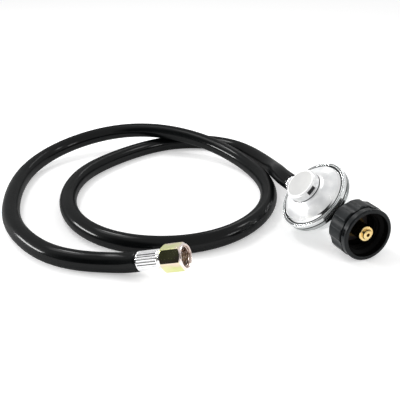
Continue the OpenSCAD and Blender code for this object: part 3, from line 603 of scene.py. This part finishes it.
def turning_marks(tree, axis, pitch):
    """Fine rings left by the lathe, along an axis of the frame."""
    where = tree.nodes.new("ShaderNodeTexCoord").outputs["Object"]
    along = tree.nodes.new("ShaderNodeVectorMath")
    along.operation = "DOT_PRODUCT"
    along.inputs[1].default_value = axis
    tree.links.new(where, along.inputs[0])
    wave = maths(tree, "SINE", maths(tree, "MULTIPLY", along.outputs["Value"], 2 * math.pi / pitch))
    return maths(tree, "ADD", wave, noise(tree, 1500.0, 2.0))


def turned_metal(name, dark, light, gloss, axis, strength=0.25, worn=None, wear=0.0):
    """A lathe-turned metal: marks round the axis, soft stains and varied gloss."""
    material, tree, shader = surfaced(name, dark, light, gloss, (1200, 90), 1.0, worn, wear)
    bump(tree, shader, turning_marks(tree, axis, 0.00035), strength, 0.000006)
    return material


ALONG_INLET = (1, 0, 0)
brass = turned_metal(
    "turned_brass", (0.74, 0.53, 0.22), (0.90, 0.70, 0.34), (0.10, 0.20), ALONG_INLET, 0.12,
)
nipple.data.materials.append(brass)
# Deep in the nut the brass is painted near black, a painted shade, and left dull.
shaded_brass = turned_metal(
    "shaded_brass", (0.05, 0.034, 0.014), (0.09, 0.062, 0.026), (0.4, 0.55), ALONG_INLET, 0.12,
)
ring_finish(nipple, ON_INLET, shaded_brass, lambda x, r: -24 < x < -8)
for node in ("flow_poppet", "spring_keeper", "valve_seat", "lever", "relief_retainer"):
    repaint(node, brass)

# Spring wire is bare drawn steel; the small steel pieces are zinc plated.
spring_wire, *_ = surfaced(
    "spring_wire", (0.42, 0.43, 0.45), (0.58, 0.59, 0.6), (0.22, 0.36), (2500, 200), 1.0,
)
for node in ("main_spring", "flow_spring", "relief_spring"):
    repaint(node, spring_wire)
plated_steel, *_ = surfaced(
    "plated_steel", (0.58, 0.59, 0.6), (0.72, 0.73, 0.73), (0.2, 0.36), (1500, 80), 1.0,
)
for node in ("diaphragm_plate", "pusher", "lever_pin", "valve_stem"):
    repaint(node, plated_steel)


# ---- Regulator body -----------------------------------------------------------------------
# A zinc casting: a bowl with an inlet boss and an outlet boss on one line. Its rim is rolled over
# the cover's flange, which leaves a lip, a groove and a plain band round the edge.

travel_axis = Vector(joint["diaphragm_travel"]["axis"]).normalized()
DISC_BACK = 63.5
lean = math.atan2(-travel_axis.y, travel_axis.z)
disc_middle = (mouth_x - DISC_BACK * MM, inlet_y, inlet_z)
IN_REGULATOR = Matrix.Translation(disc_middle) @ Matrix.Rotation(lean, 4, "X")
ABOUT_DISC = IN_REGULATOR @ Matrix.Rotation(-math.pi / 2, 4, "Y")
RIM_R = 33
BOSS_R = 10.5
BOSS_REACH = 28.5


def joined(thing, others, operation):
    """Adds or cuts away other closed pieces, which are used up."""
    for other in others:
        step = thing.modifiers.new(operation, "BOOLEAN")
        step.operation = operation
        step.solver = "EXACT"
        step.object = other
        with bpy.context.temp_override(object=thing, active_object=thing, selected_objects=[thing]):
            bpy.ops.object.modifier_apply(modifier=step.name)
        bpy.data.objects.remove(other)
    thing.data.shade_smooth()
    thing.data.set_sharp_from_angle(angle=math.radians(SHARP_EDGE))
    return thing


BOWL_FLOOR = -12.5
FLOOR_T = 4
RIM_LOW = 13.9
SIDE_GROOVE = (16.6, 17.9)
SIDE_GROOVE_DEPTH = 0.7
RIM_TOP = 21.3
LIP_TOP, LIP_R = 21.4, 30.3
FLANGE_TOP = 20.45
SEAT_R, SEAT_LOW = 31.45, 17.6
DISC_SEGMENTS = 192
bowl_outline = fillet([
    (BOWL_FLOOR, 0), (BOWL_FLOOR, 13), (BOWL_FLOOR + 0.6, 14.6), (0.5, 24.6), (8.2, 28.4), (12.4, 31.2),
    (RIM_LOW - 0.7, RIM_R - 0.4), (RIM_LOW, RIM_R), (SIDE_GROOVE[0], RIM_R),
    (SIDE_GROOVE[0] + 0.4, RIM_R - SIDE_GROOVE_DEPTH), (SIDE_GROOVE[1] - 0.4, RIM_R - SIDE_GROOVE_DEPTH),
    (SIDE_GROOVE[1], RIM_R), (RIM_TOP - 0.5, RIM_R), (RIM_TOP, RIM_R - 0.5), (RIM_TOP, RIM_R - 1),
    (RIM_TOP - 0.6, 31.8), (RIM_TOP - 0.6, 31.5), (LIP_TOP, 31.3), (LIP_TOP, LIP_R + 0.3),
    (LIP_TOP - 0.3, LIP_R), (FLANGE_TOP, LIP_R), (FLANGE_TOP, SEAT_R), (SEAT_LOW, SEAT_R), (SEAT_LOW, 29),
    (14, 29), (9.5, 26.8), (0.5, 20.6), (BOWL_FLOOR + FLOOR_T, 14), (BOWL_FLOOR + FLOOR_T, 0),
], 0.3)
body = turned("regulator_body", ABOUT_DISC, split_long(bowl_outline, 1.2), DISC_SEGMENTS)
BORE_NARROW_R, BORE_PORT_R = 5.5, 6.5
boss_outline = (
    (BOSS_REACH - 12, 0), (BOSS_REACH - 12, 8.5), (BOSS_REACH - 8, BOSS_R), (BOSS_REACH - 0.6, BOSS_R),
    (BOSS_REACH, BOSS_R - 0.6), (BOSS_REACH, 0),
)
bore_outline = (
    (8, 0), (8, BORE_NARROW_R), (BOSS_REACH - 10, BORE_NARROW_R), (BOSS_REACH - 10, BORE_PORT_R),
    (BOSS_REACH + 1.5, BORE_PORT_R), (BOSS_REACH + 1.5, 0),
)
bosses = [
    turned("boss", IN_REGULATOR, fillet([(side * x, r) for x, r in boss_outline], 0.4), 96)
    for side in (1, -1)
]
body = joined(body, bosses, "UNION")
bores = [turned("bore", IN_REGULATOR, [(side * x, r) for x, r in bore_outline], 64) for side in (1, -1)]
body = joined(body, bores, "DIFFERENCE")
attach(body, "regulator")
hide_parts("lower_body")
cast_zinc, *_ = surfaced(
    "cast_zinc", (0.70, 0.72, 0.72), (0.82, 0.84, 0.84), (0.12, 0.22), (1300, 55), 0.9,
    worn=(0.95, 0.95, 0.95), wear=0.6,
)
body.data.materials.append(cast_zinc)

# The side of the rolled edge is painted darker than the casting, a painted dark reflection.
painted_dark_reflection_band, *_ = surfaced(
    "painted_dark_reflection_band", (0.30, 0.32, 0.32), (0.52, 0.54, 0.54), (0.10, 0.20), (1300, 90), 1.0,
    height=0.00001, strength=0.2,
)
ring_finish(body, ABOUT_DISC, painted_dark_reflection_band, lambda x, r: r > RIM_R - 0.4 and RIM_LOW - 0.1 < x < 17.2)

# Painted shade: the narrow grooves round the rim and the band under the rolled edge are painted near black.
painted_groove_shade, tree, shader = surfaced(
    "painted_groove_shade", (0.012, 0.013, 0.013), (0.03, 0.032, 0.032), (0.5, 0.7), (1500, 200),
)
shader.inputs["Specular IOR Level"].default_value = 0.1


def in_body_groove(x, r):
    """Whether a place lies in one of the narrow grooves, inside the lip or under the rolled edge, where shade
    is painted.
    """
    edge_groove = 31.35 < r < RIM_R - 1 and 20.5 < x < 21.2
    inside_lip = 29 < r < 30.7 and 19 < x < RIM_TOP
    side_groove = 31.6 < r < RIM_R - 0.15 and SIDE_GROOVE[0] < x < SIDE_GROOVE[1]
    underside = RIM_R - 0.6 < r < RIM_R - 0.1 and 13.0 < x < 14.2
    return edge_groove or inside_lip or side_groove or underside


ring_finish(body, ABOUT_DISC, painted_groove_shade, in_body_groove)


# ---- Cover, vent and cap ------------------------------------------------------------------
# A drawn and turned cover of bright metal, almost white: a flat dome and a short tower for the
# spring. A window in the tower lets it breathe through a dark screen; a pale cap closes the top.

TOWER_R = 14.5
TOWER_TOP = 38.4
VENT_TURN = math.radians(2)
VENT_W, VENT_H = 8.0, 4.2
TOWER_BORE_R = 12
COVER_LOW, COVER_FLANGE_TOP = 19.02, 20.43
COVER_FLANGE_R = 31.35
DOME_EDGE_R = 29.5
DOME_FOOT_X = 21.2
TOWER_FOOT_X = 31.5
dome_outside = ((22.9, 28.0), (25.1, 25.4), (27.7, 21.6), (29.7, 18.0), (30.8, 15.0))
dome_inside = ((28.24, 17.33), (26.34, 20.75), (23.8, 24.37), (21.4, 27.3), (20.23, 28.4))
cover_outline = fillet([
    (COVER_LOW, COVER_FLANGE_R), (COVER_FLANGE_TOP, COVER_FLANGE_R), (COVER_FLANGE_TOP, DOME_EDGE_R),
    (DOME_FOOT_X, DOME_EDGE_R - 0.2), *dome_outside, (TOWER_FOOT_X, TOWER_R), (TOWER_TOP - 0.4, TOWER_R),
    (TOWER_TOP, TOWER_R - 0.4), (TOWER_TOP, TOWER_BORE_R), (29.4, TOWER_BORE_R), *dome_inside,
    (COVER_LOW, 28.4),
], 0.5, 6)
cover = turned("regulator_cover", ABOUT_DISC, split_long(cover_outline, 1.2), DISC_SEGMENTS)


def block(name, place, low, high):
    """A plain closed block in millimetres, used as a cutter."""
    corners = [(x, y, z) for x in (low[0], high[0]) for y in (low[1], high[1]) for z in (low[2], high[2])]
    sides = [(0, 1, 3, 2), (4, 6, 7, 5), (0, 4, 5, 1), (2, 3, 7, 6), (0, 2, 6, 4), (1, 5, 7, 3)]
    return new_object(name, corners, sides, place)


AT_VENT = IN_REGULATOR @ Matrix.Rotation(VENT_TURN, 4, "Z")
SCREEN_BACK_R = 12.95
SCREEN_SEAT = 0.8
half_w = VENT_W / 2
vent_low = TOWER_TOP - 0.5 - VENT_H
vent_high = vent_low + VENT_H
windows = [
    block("window", AT_VENT, (SCREEN_BACK_R, -half_w, vent_low), (18, half_w, vent_high)),
    block(
        "window", AT_VENT,
        (11, -half_w + SCREEN_SEAT, vent_low + 0.6), (14, half_w - SCREEN_SEAT, vent_high - 0.6),
    ),
]
cover = joined(cover, windows, "DIFFERENCE")
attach(cover, "regulator")
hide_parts("upper_cover")
bright_cover, *_ = surfaced(
    "bright_cover", (0.78, 0.79, 0.80), (0.98, 0.98, 0.98), (0.16, 0.28), (1600, 95), 0.30,
    strength=0.25,
)
cover.data.materials.append(bright_cover)
# The turned edge of the dome is polished. Outside it and round the tower's foot the cover is painted near
# black, a painted shade.
polished_edge, *_ = surfaced(
    "polished_edge", (0.86, 0.87, 0.87), (0.94, 0.95, 0.95), (0.06, 0.12), (1500, 90), 1.0,
    height=0.000005, strength=0.1,
)
ring_finish(cover, ABOUT_DISC, polished_edge, lambda x, r: 27.9 < r < 29.35 and 21.0 < x < 23.4)
ring_finish(cover, ABOUT_DISC, painted_groove_shade, lambda x, r: (
    (r >= DOME_EDGE_R - 0.3 and x < DOME_FOOT_X + 0.05)
    or (TOWER_R - 0.1 < r < TOWER_R + 0.4 and x < TOWER_FOOT_X + 0.4)
))

vent_dark, *_ = surfaced("vent_dark", (0.012, 0.012, 0.014), (0.02, 0.02, 0.022), (0.5, 0.7), (2500, 200))
repaint("vent_screen", vent_dark)

CAP_FACE_R = 12.4
CAP_R = 13.6
CAP_T = 1.0
CAP_FACE_DEPTH = 0.15
SKIRT_IN_R, SKIRT_OUT_R, SKIRT_LOW = 9.8, 11.85, 33.6
cap_outline = fillet([
    (TOWER_TOP - 0.8, 0), (TOWER_TOP - 0.8, SKIRT_IN_R), (SKIRT_LOW, SKIRT_IN_R), (SKIRT_LOW, SKIRT_OUT_R),
    (TOWER_TOP + 0.02, SKIRT_OUT_R), (TOWER_TOP + 0.02, CAP_R), (TOWER_TOP + CAP_T - 0.3, CAP_R),
    (TOWER_TOP + CAP_T, CAP_R - 0.5), (TOWER_TOP + CAP_T, CAP_FACE_R + 0.1),
    (TOWER_TOP + CAP_T - CAP_FACE_DEPTH, CAP_FACE_R), (TOWER_TOP + CAP_T - CAP_FACE_DEPTH, 0),
], 0.1)
cap = turned("closing_cap_disc", ABOUT_DISC, split_long(cap_outline, 1.5), 144)
# A slot in the cap's skirt leaves the vent open to the inside.
breather = block("slot", AT_VENT, (7.8, -3.2, SKIRT_LOW - 1), (12.8, 3.2, TOWER_TOP - 1.2))
cap = joined(cap, [breather], "DIFFERENCE")
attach(cap, "regulator")
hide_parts("closing_cap")
cap_plastic, *_ = surfaced("cap_plastic", (0.50, 0.50, 0.495), (0.57, 0.57, 0.56), (0.5, 0.62), (1800, 60))
cap.data.materials.append(cap_plastic)
cap_rim, *_ = surfaced("cap_rim", (0.90, 0.90, 0.90), (0.94, 0.94, 0.94), (0.3, 0.42), (1800, 60))
ring_finish(cap, ABOUT_DISC, cap_rim, lambda x, r: r > CAP_FACE_R and x > TOWER_TOP)
repaint("adjusting_screw", cap_plastic)

# What lies under the cover: a white slip ring, the cloth-backed diaphragm and the valve's disc.
slip_plastic, *_ = surfaced("slip_plastic", (0.7, 0.7, 0.66), (0.76, 0.76, 0.72), (0.4, 0.55), (1500, 80))
repaint("slip_ring", slip_plastic)
cloth_rubber, *_ = surfaced(
    "cloth_rubber", (0.03, 0.026, 0.022), (0.05, 0.043, 0.036), (0.6, 0.8), (2200, 70), strength=0.7,
)
repaint("diaphragm", cloth_rubber)
seat_rubber, *_ = surfaced(
    "seat_rubber", (0.015, 0.015, 0.015), (0.025, 0.025, 0.025), (0.5, 0.65), (1500, 90),
)
repaint("seat_disc", seat_rubber)


# ---- Outlet stem and its sleeve -----------------------------------------------------------
# The stem screws into the outlet boss and ends in a ribbed tail inside the hose. The sleeve is a
# bright zinc-plated tube with a collar, crimped by jaws that leave lengthwise flutes.

OUTLET_HEX = 15
STEM_HEX_CORNER = OUTLET_HEX / 2 / math.cos(math.pi / 6)
TAIL_R, TAIL_CORE, RIB_PITCH = 4.5, 4.0, 2.6


def ribs(first, tip):
    """The ribbed part of a hose tail as outline points, from its neck to its tip."""
    points = [(first, TAIL_CORE)]
    x = first - 0.4
    while x >= tip + RIB_PITCH - 0.1:
        points += [(x, TAIL_CORE), (x - 0.2, TAIL_R), (x - RIB_PITCH + 0.1, TAIL_CORE)]
        x -= RIB_PITCH
    return points + [(tip + 0.4, TAIL_CORE), (tip, TAIL_CORE - 0.4)]


STEM_TIP, STEM_END = -19.7, -56.5
STEM_HEX_FRONT, STEM_HEX_BACK = -28.7, -35
STEM_BORE_R = 3.1
STEM_NECK, STEM_NECK_R = -38.7, 4.95
stem_outline = fillet([
    (STEM_TIP, STEM_BORE_R), (STEM_TIP, THREAD_R - 0.95), (STEM_TIP - 0.8, THREAD_R),
    (STEM_HEX_FRONT, THREAD_R), (STEM_HEX_FRONT, OUTLET_HEX / 2),
    (STEM_HEX_FRONT - 0.7, STEM_HEX_CORNER - 0.1), (STEM_HEX_BACK + 0.7, STEM_HEX_CORNER - 0.1),
    (STEM_HEX_BACK, OUTLET_HEX / 2), (STEM_HEX_BACK, STEM_NECK_R), (STEM_NECK, STEM_NECK_R),
    *ribs(STEM_NECK, STEM_END), (STEM_END, STEM_BORE_R),
], 0.15)
stem_hex = hex_shape(OUTLET_HEX, STEM_HEX_BACK - 0.05, STEM_HEX_FRONT + 0.05, HEX_CUT_R)
stem = turned("outlet_tail", IN_REGULATOR, split_long(stem_outline, 0.6), 180, stem_hex)
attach(stem, "regulator")
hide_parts("outlet_stem")
plated_tail = turned_metal(
    "plated_tail", (0.50, 0.47, 0.36), (0.64, 0.61, 0.48), (0.22, 0.36), ALONG_INLET,
)
stem.data.materials.append(plated_tail)

FERRULE_R = 7.95
FERRULE_WALL = 0.6
COLLAR = 2.0
COLLAR_GROOVE_DEPTH = 0.35
FLUTES = 18
FLUTE_DEPTH = 0.55


def crimped_sleeve(name, place, length, hole_r):
    """A sleeve from its collar's face at 0 to its mouth; flutes run from behind the collar to the mouth."""

    def flutes(x, r, angle):
        if r < FERRULE_R - 0.4:
            return r
        share = ((angle * FLUTES / (2 * math.pi)) % 1.0 - 0.5) * 2
        starts = soft_step(-x, COLLAR + 1.2, COLLAR + 2.0)
        ends = soft_step(-x, length - 1.4, length - 0.5)
        return r - FLUTE_DEPTH * share**2 * starts * (1 - ends)

    groove_r = FERRULE_R - COLLAR_GROOVE_DEPTH
    inside_r = FERRULE_R - FERRULE_WALL
    outline = fillet([
        (0, hole_r), (0, FERRULE_R - 0.4), (-0.4, FERRULE_R), (-COLLAR, FERRULE_R), (-COLLAR - 0.2, groove_r),
        (-COLLAR - 0.6, groove_r), (-COLLAR - 0.8, FERRULE_R), (-length + 0.3, FERRULE_R),
        (-length, FERRULE_R - 0.3), (-length, inside_r), (-COLLAR, inside_r), (-COLLAR, hole_r),
    ], 0.2)
    return turned(name, place, split_long(outline, 0.4), FLUTES * 16, flutes)


OUTLET_COLLAR = 36.5
OUTLET_SLEEVE = 24
at_outlet_collar = IN_REGULATOR @ Matrix.Translation((-OUTLET_COLLAR * MM, 0, 0))
outlet_sleeve = crimped_sleeve("outlet_sleeve", at_outlet_collar, OUTLET_SLEEVE, 5.0)
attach(outlet_sleeve, "regulator")
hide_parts("outlet_ferrule")
# The flutes and hollows of the sleeves are painted dark, a painted shade.
bright_zinc, *_ = surfaced(
    "bright_zinc", (0.88, 0.88, 0.89), (0.95, 0.95, 0.96), (0.06, 0.12), (1500, 120), 0.95,
    height=0.000005, strength=0.12, recess_shade_colour=(0.12, 0.12, 0.12),
)
outlet_sleeve.data.materials.append(bright_zinc)


# ---- Hose ---------------------------------------------------------------------------------
# Extruded black rubber with a smooth cover, five feet long. It leaves both sleeves straight, lies
# on the table in two loose loops and passes over itself in a long low hump.

HOSE_R = 8.25
HOSE_BORE_R = 4.75
SQUEEZED_R = 7.3
HOSE_SIDES = 48
STEPS_PER_SPAN = 16
LYING = HOSE_R
flare_axis = Vector(joint["flare_nut_spin"]["axis"]).normalized()
flare_pivot = Vector(joint["flare_nut_spin"]["pos_m"])
FLARE_NUT_LENGTH = 18.4
PIVOT_BACK = 11.5
flare_mouth = flare_pivot + flare_axis * PIVOT_BACK * MM
END_COLLAR = FLARE_NUT_LENGTH + 0.4
END_SLEEVE = 22
outlet_from = Vector((mouth_x / MM - DISC_BACK, inlet_y / MM, inlet_z / MM))


def flare_point(back):
    """A point on the flare end's line, in millimetres behind the nut's mouth."""
    return flare_mouth / MM - flare_axis * back


def outlet_point(back):
    """A point on the regulator's outlet line, in millimetres behind the disc's centre."""
    return outlet_from - Vector((back, 0, 0))


end_straight = END_COLLAR + END_SLEEVE + 4
outlet_straight = OUTLET_COLLAR + OUTLET_SLEEVE + 3
route = [flare_point(end_straight + d) for d in (-10, 0, 10)] + [Vector(p) for p in (
    (-2.5, -195, 7.9), (-11.5, -215, 8.6), (-33, -236, LYING), (-68, -250, LYING), (-110, -256, LYING),
    (-156, -250, LYING), (-203, -238, LYING), (-247, -219, 8.5), (-282, -189, 11.5), (-301, -148, 17.5),
    (-299, -102, 24), (-277, -60, 26.25), (-243, -24, 22), (-202, 0, 14.5), (-158, 9, 9),
    (-112, 4, LYING), (-67, -14, LYING), (-30, -46, LYING), (-7, -88, LYING), (-6, -134, LYING),
    (-28, -175, LYING), (-68, -199, LYING), (-117, -204, LYING), (-165, -192, LYING),
    (-205, -170, LYING), (-232, -141.5, LYING), (-259, -99.5, LYING), (-278, -49, LYING),
    (-266, -3, LYING), (-231, 26.5, LYING), (-182, 31, LYING), (-137, 26, 11), (-107.5, 14, 19.9),
)] + [outlet_point(outlet_straight + d) for d in (18, 0, -18)]


def spline_at(p, t):
    """Point and direction of the cubic spline of four route points."""
    weights = ((1 - t) ** 3, 3 * t**3 - 6 * t**2 + 4, -3 * t**3 + 3 * t**2 + 3 * t + 1, t**3)
    slopes = (-((1 - t) ** 2), 3 * t**2 - 4 * t, -3 * t**2 + 2 * t + 1, t**2)
    point = sum((w * q for w, q in zip(weights, p)), Vector((0, 0, 0))) / 6
    way = sum((w * q for w, q in zip(slopes, p)), Vector((0, 0, 0))) / 2
    return point, way.normalized()


# Each end is squeezed inside its sleeve and swells back to full size where it comes out.
end_mouth = END_COLLAR + END_SLEEVE
outlet_mouth = OUTLET_COLLAR + OUTLET_SLEEVE
into_outlet = Vector((1, 0, 0))
rings = [(flare_point(x), -flare_axis, SQUEEZED_R) for x in (END_COLLAR + 2.2, end_mouth - 0.4)]
rings += [
    (flare_point(end_mouth + x), -flare_axis, HOSE_R + bulge)
    for x, bulge in ((0.2, -0.75), (0.7, -0.35), (1.4, -0.08), (2.6, 0.0))
]
for i in range(len(route) - 3):
    rings += [(*spline_at(route[i:i + 4], k / STEPS_PER_SPAN), HOSE_R) for k in range(STEPS_PER_SPAN)]
rings.append((outlet_point(outlet_straight), into_outlet, HOSE_R))
rings += [
    (outlet_point(outlet_mouth + x), into_outlet, HOSE_R + bulge)
    for x, bulge in ((2.0, 0.0), (1.4, -0.08), (0.7, -0.35), (0.2, -0.75))
]
rings += [(outlet_point(x), into_outlet, SQUEEZED_R) for x in (outlet_mouth - 0.4, OUTLET_COLLAR + 2.2)]


def swept_tube(name, rings, bore_r, sides):
    """A tube with a bore along rings of (middle, direction, outer radius)."""
    points, faces = [], []
    for inner in (False, True):
        for middle, way, r in rings:
            side = way.cross(Vector((0, 0, 1))).normalized()
            up = side.cross(way)
            q = bore_r if inner else r
            for j in range(sides):
                angle = 2 * math.pi * j / sides
                points.append(middle + q * (math.cos(angle) * side + math.sin(angle) * up))
    count = len(rings)
    for layer in (0, count):
        for k in range(count - 1):
            for j in range(sides):
                a, b = (layer + k) * sides + j, (layer + k) * sides + (j + 1) % sides
                faces.append((a, b, b + sides, a + sides))
    for k in (0, count - 1):
        for j in range(sides):
            a, b = k * sides + j, k * sides + (j + 1) % sides
            faces.append((a, b, b + count * sides, a + count * sides))
    return new_object(name, points, faces, Matrix.Identity(4))


hose = swept_tube("rubber_hose", rings, HOSE_BORE_R, HOSE_SIDES)
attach(hose, "regulator")
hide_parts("hose")

hose_rubber, tree, shader = surfaced(
    "hose_rubber", (0.0010, 0.0014, 0.0016), (0.0022, 0.0028, 0.0030), (0.45, 0.60), (700, 22),
    height=0.00006, strength=0.35,
)
shader.inputs["Specular IOR Level"].default_value = 0.02
shader.inputs["Coat Weight"].default_value = 0.08
shader.inputs["Coat IOR"].default_value = 2.5
shader.inputs["Coat Roughness"].default_value = 0.14
hose.data.materials.append(hose_rubber)


# ---- Flare end ----------------------------------------------------------------------------
# A short crimped sleeve, the flare stem with its sealing cone, and a hexagon nut that turns on it.
# The nut is zinc plated with a yellow passivation that shifts between green, gold and rose.

AT_FLARE = (
    Matrix.Translation(flare_mouth) @ Matrix.Rotation(math.atan2(flare_axis.y, flare_axis.x), 4, "Z")
    @ Matrix.Rotation(-math.asin(flare_axis.z), 4, "Y")
)
at_end_collar = AT_FLARE @ Matrix.Translation((-END_COLLAR * MM, 0, 0))
end_sleeve = crimped_sleeve("end_sleeve", at_end_collar, END_SLEEVE, 5.45)
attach(end_sleeve, "regulator")
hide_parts("end_ferrule")
end_sleeve.data.materials.append(bright_zinc)

CONE_X = 9.9
CONE_R = 7.6
END_NECK_R = 5.4
end_neck = -END_COLLAR - 2.2
end_tip = -end_mouth - 1.5
end_outline = fillet([
    (-CONE_X, 6.2), (-CONE_X, CONE_R - 0.7), (-CONE_X - 0.6, CONE_R), (-12.3, CONE_R), (-12.9, CONE_R - 0.6),
    (-12.9, END_NECK_R), (end_neck, END_NECK_R), *ribs(end_neck, end_tip),
    (end_tip, STEM_BORE_R), (-CONE_X - 3.1, STEM_BORE_R),
], 0.12)
end_stem = turned("flare_tail", AT_FLARE, split_long(end_outline, 0.6), 120)
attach(end_stem, "regulator")
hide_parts("flare_stem")
end_stem.data.materials.append(plated_tail)

FLARE_HEX = 19.5
FLARE_CORNER = FLARE_HEX / 2 / math.cos(math.pi / 6)
MOUTH_RING_R = 9.55
FLARE_BORE_R = 8.0
FLARE_BORE_END = -9.6
FLARE_PITCH = 1.41
FLARE_THREAD_DEPTH = 0.7
SHOULDER_X, SHOULDER_HOLE_R = -13, 5.5
flare_outline = fillet([
    (0, 8.9), (0, MOUTH_RING_R - 0.3), (-0.3, MOUTH_RING_R), (-1.0, MOUTH_RING_R),
    (-2.6, FLARE_CORNER - 0.12),
    (-FLARE_NUT_LENGTH + 0.9, FLARE_CORNER - 0.12), (-FLARE_NUT_LENGTH, FLARE_CORNER - 1.0),
    (-FLARE_NUT_LENGTH, SHOULDER_HOLE_R), (SHOULDER_X, SHOULDER_HOLE_R), (SHOULDER_X, FLARE_BORE_R + 0.2),
    (FLARE_BORE_END, FLARE_BORE_R + 0.2), (FLARE_BORE_END, FLARE_BORE_R), (-0.7, FLARE_BORE_R),
], 0.2)
flare_shape = thread_shape(
    FLARE_PITCH, FLARE_THREAD_DEPTH, FLARE_BORE_END + 0.1, -0.6, FLARE_BORE_R + 0.15,
    hex_shape(FLARE_HEX, -30, -0.9, 8.95),
)
flare_nut = turned("swivel_nut", AT_FLARE, split_long(flare_outline, 0.22), 180, flare_shape)
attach(flare_nut, "end_nut")
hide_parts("flare_nut")

passivated, tree, shader = surfaced(
    "yellow_passivation", (0.70, 0.73, 0.32), (0.84, 0.84, 0.46), (0.08, 0.15), (1400, 60), 1.0,
    height=0.000006, strength=0.15,
)
base = shader.inputs["Base Color"].links[0].from_socket
ROSE = (0.84, 0.66, 0.60)
rose = remap(tree, noise(tree, 45.0, 2.0, (1.0, 1.0, 2.5)), 0.46, 0.62, 0.0, 0.75)
tree.links.new(colours(tree, rose, base, ROSE), shader.inputs["Base Color"])
flare_nut.data.materials.append(passivated)

# The bath runs thin on the end face and in the thread, where the film looks rose and brown.
rosy_face, *_ = surfaced(
    "rosy_face", (0.84, 0.70, 0.66), (0.94, 0.86, 0.82), (0.08, 0.16), (1400, 80), 1.0,
    height=0.000006, strength=0.15,
)
# The thread's hollows are also painted dark, a painted shade.
rosy_thread, *_ = surfaced(
    "rosy_thread", (0.50, 0.38, 0.33), (0.70, 0.58, 0.52), (0.12, 0.22), (1400, 80), 1.0,
    height=0.000006, strength=0.15, recess_shade_colour=(0.08, 0.06, 0.05),
)
ring_finish(flare_nut, AT_FLARE, rosy_face, lambda x, r: x > -1.9 and r > 8.7)
ring_finish(flare_nut, AT_FLARE, rosy_thread, lambda x, r: r <= 8.7 and x > -10)
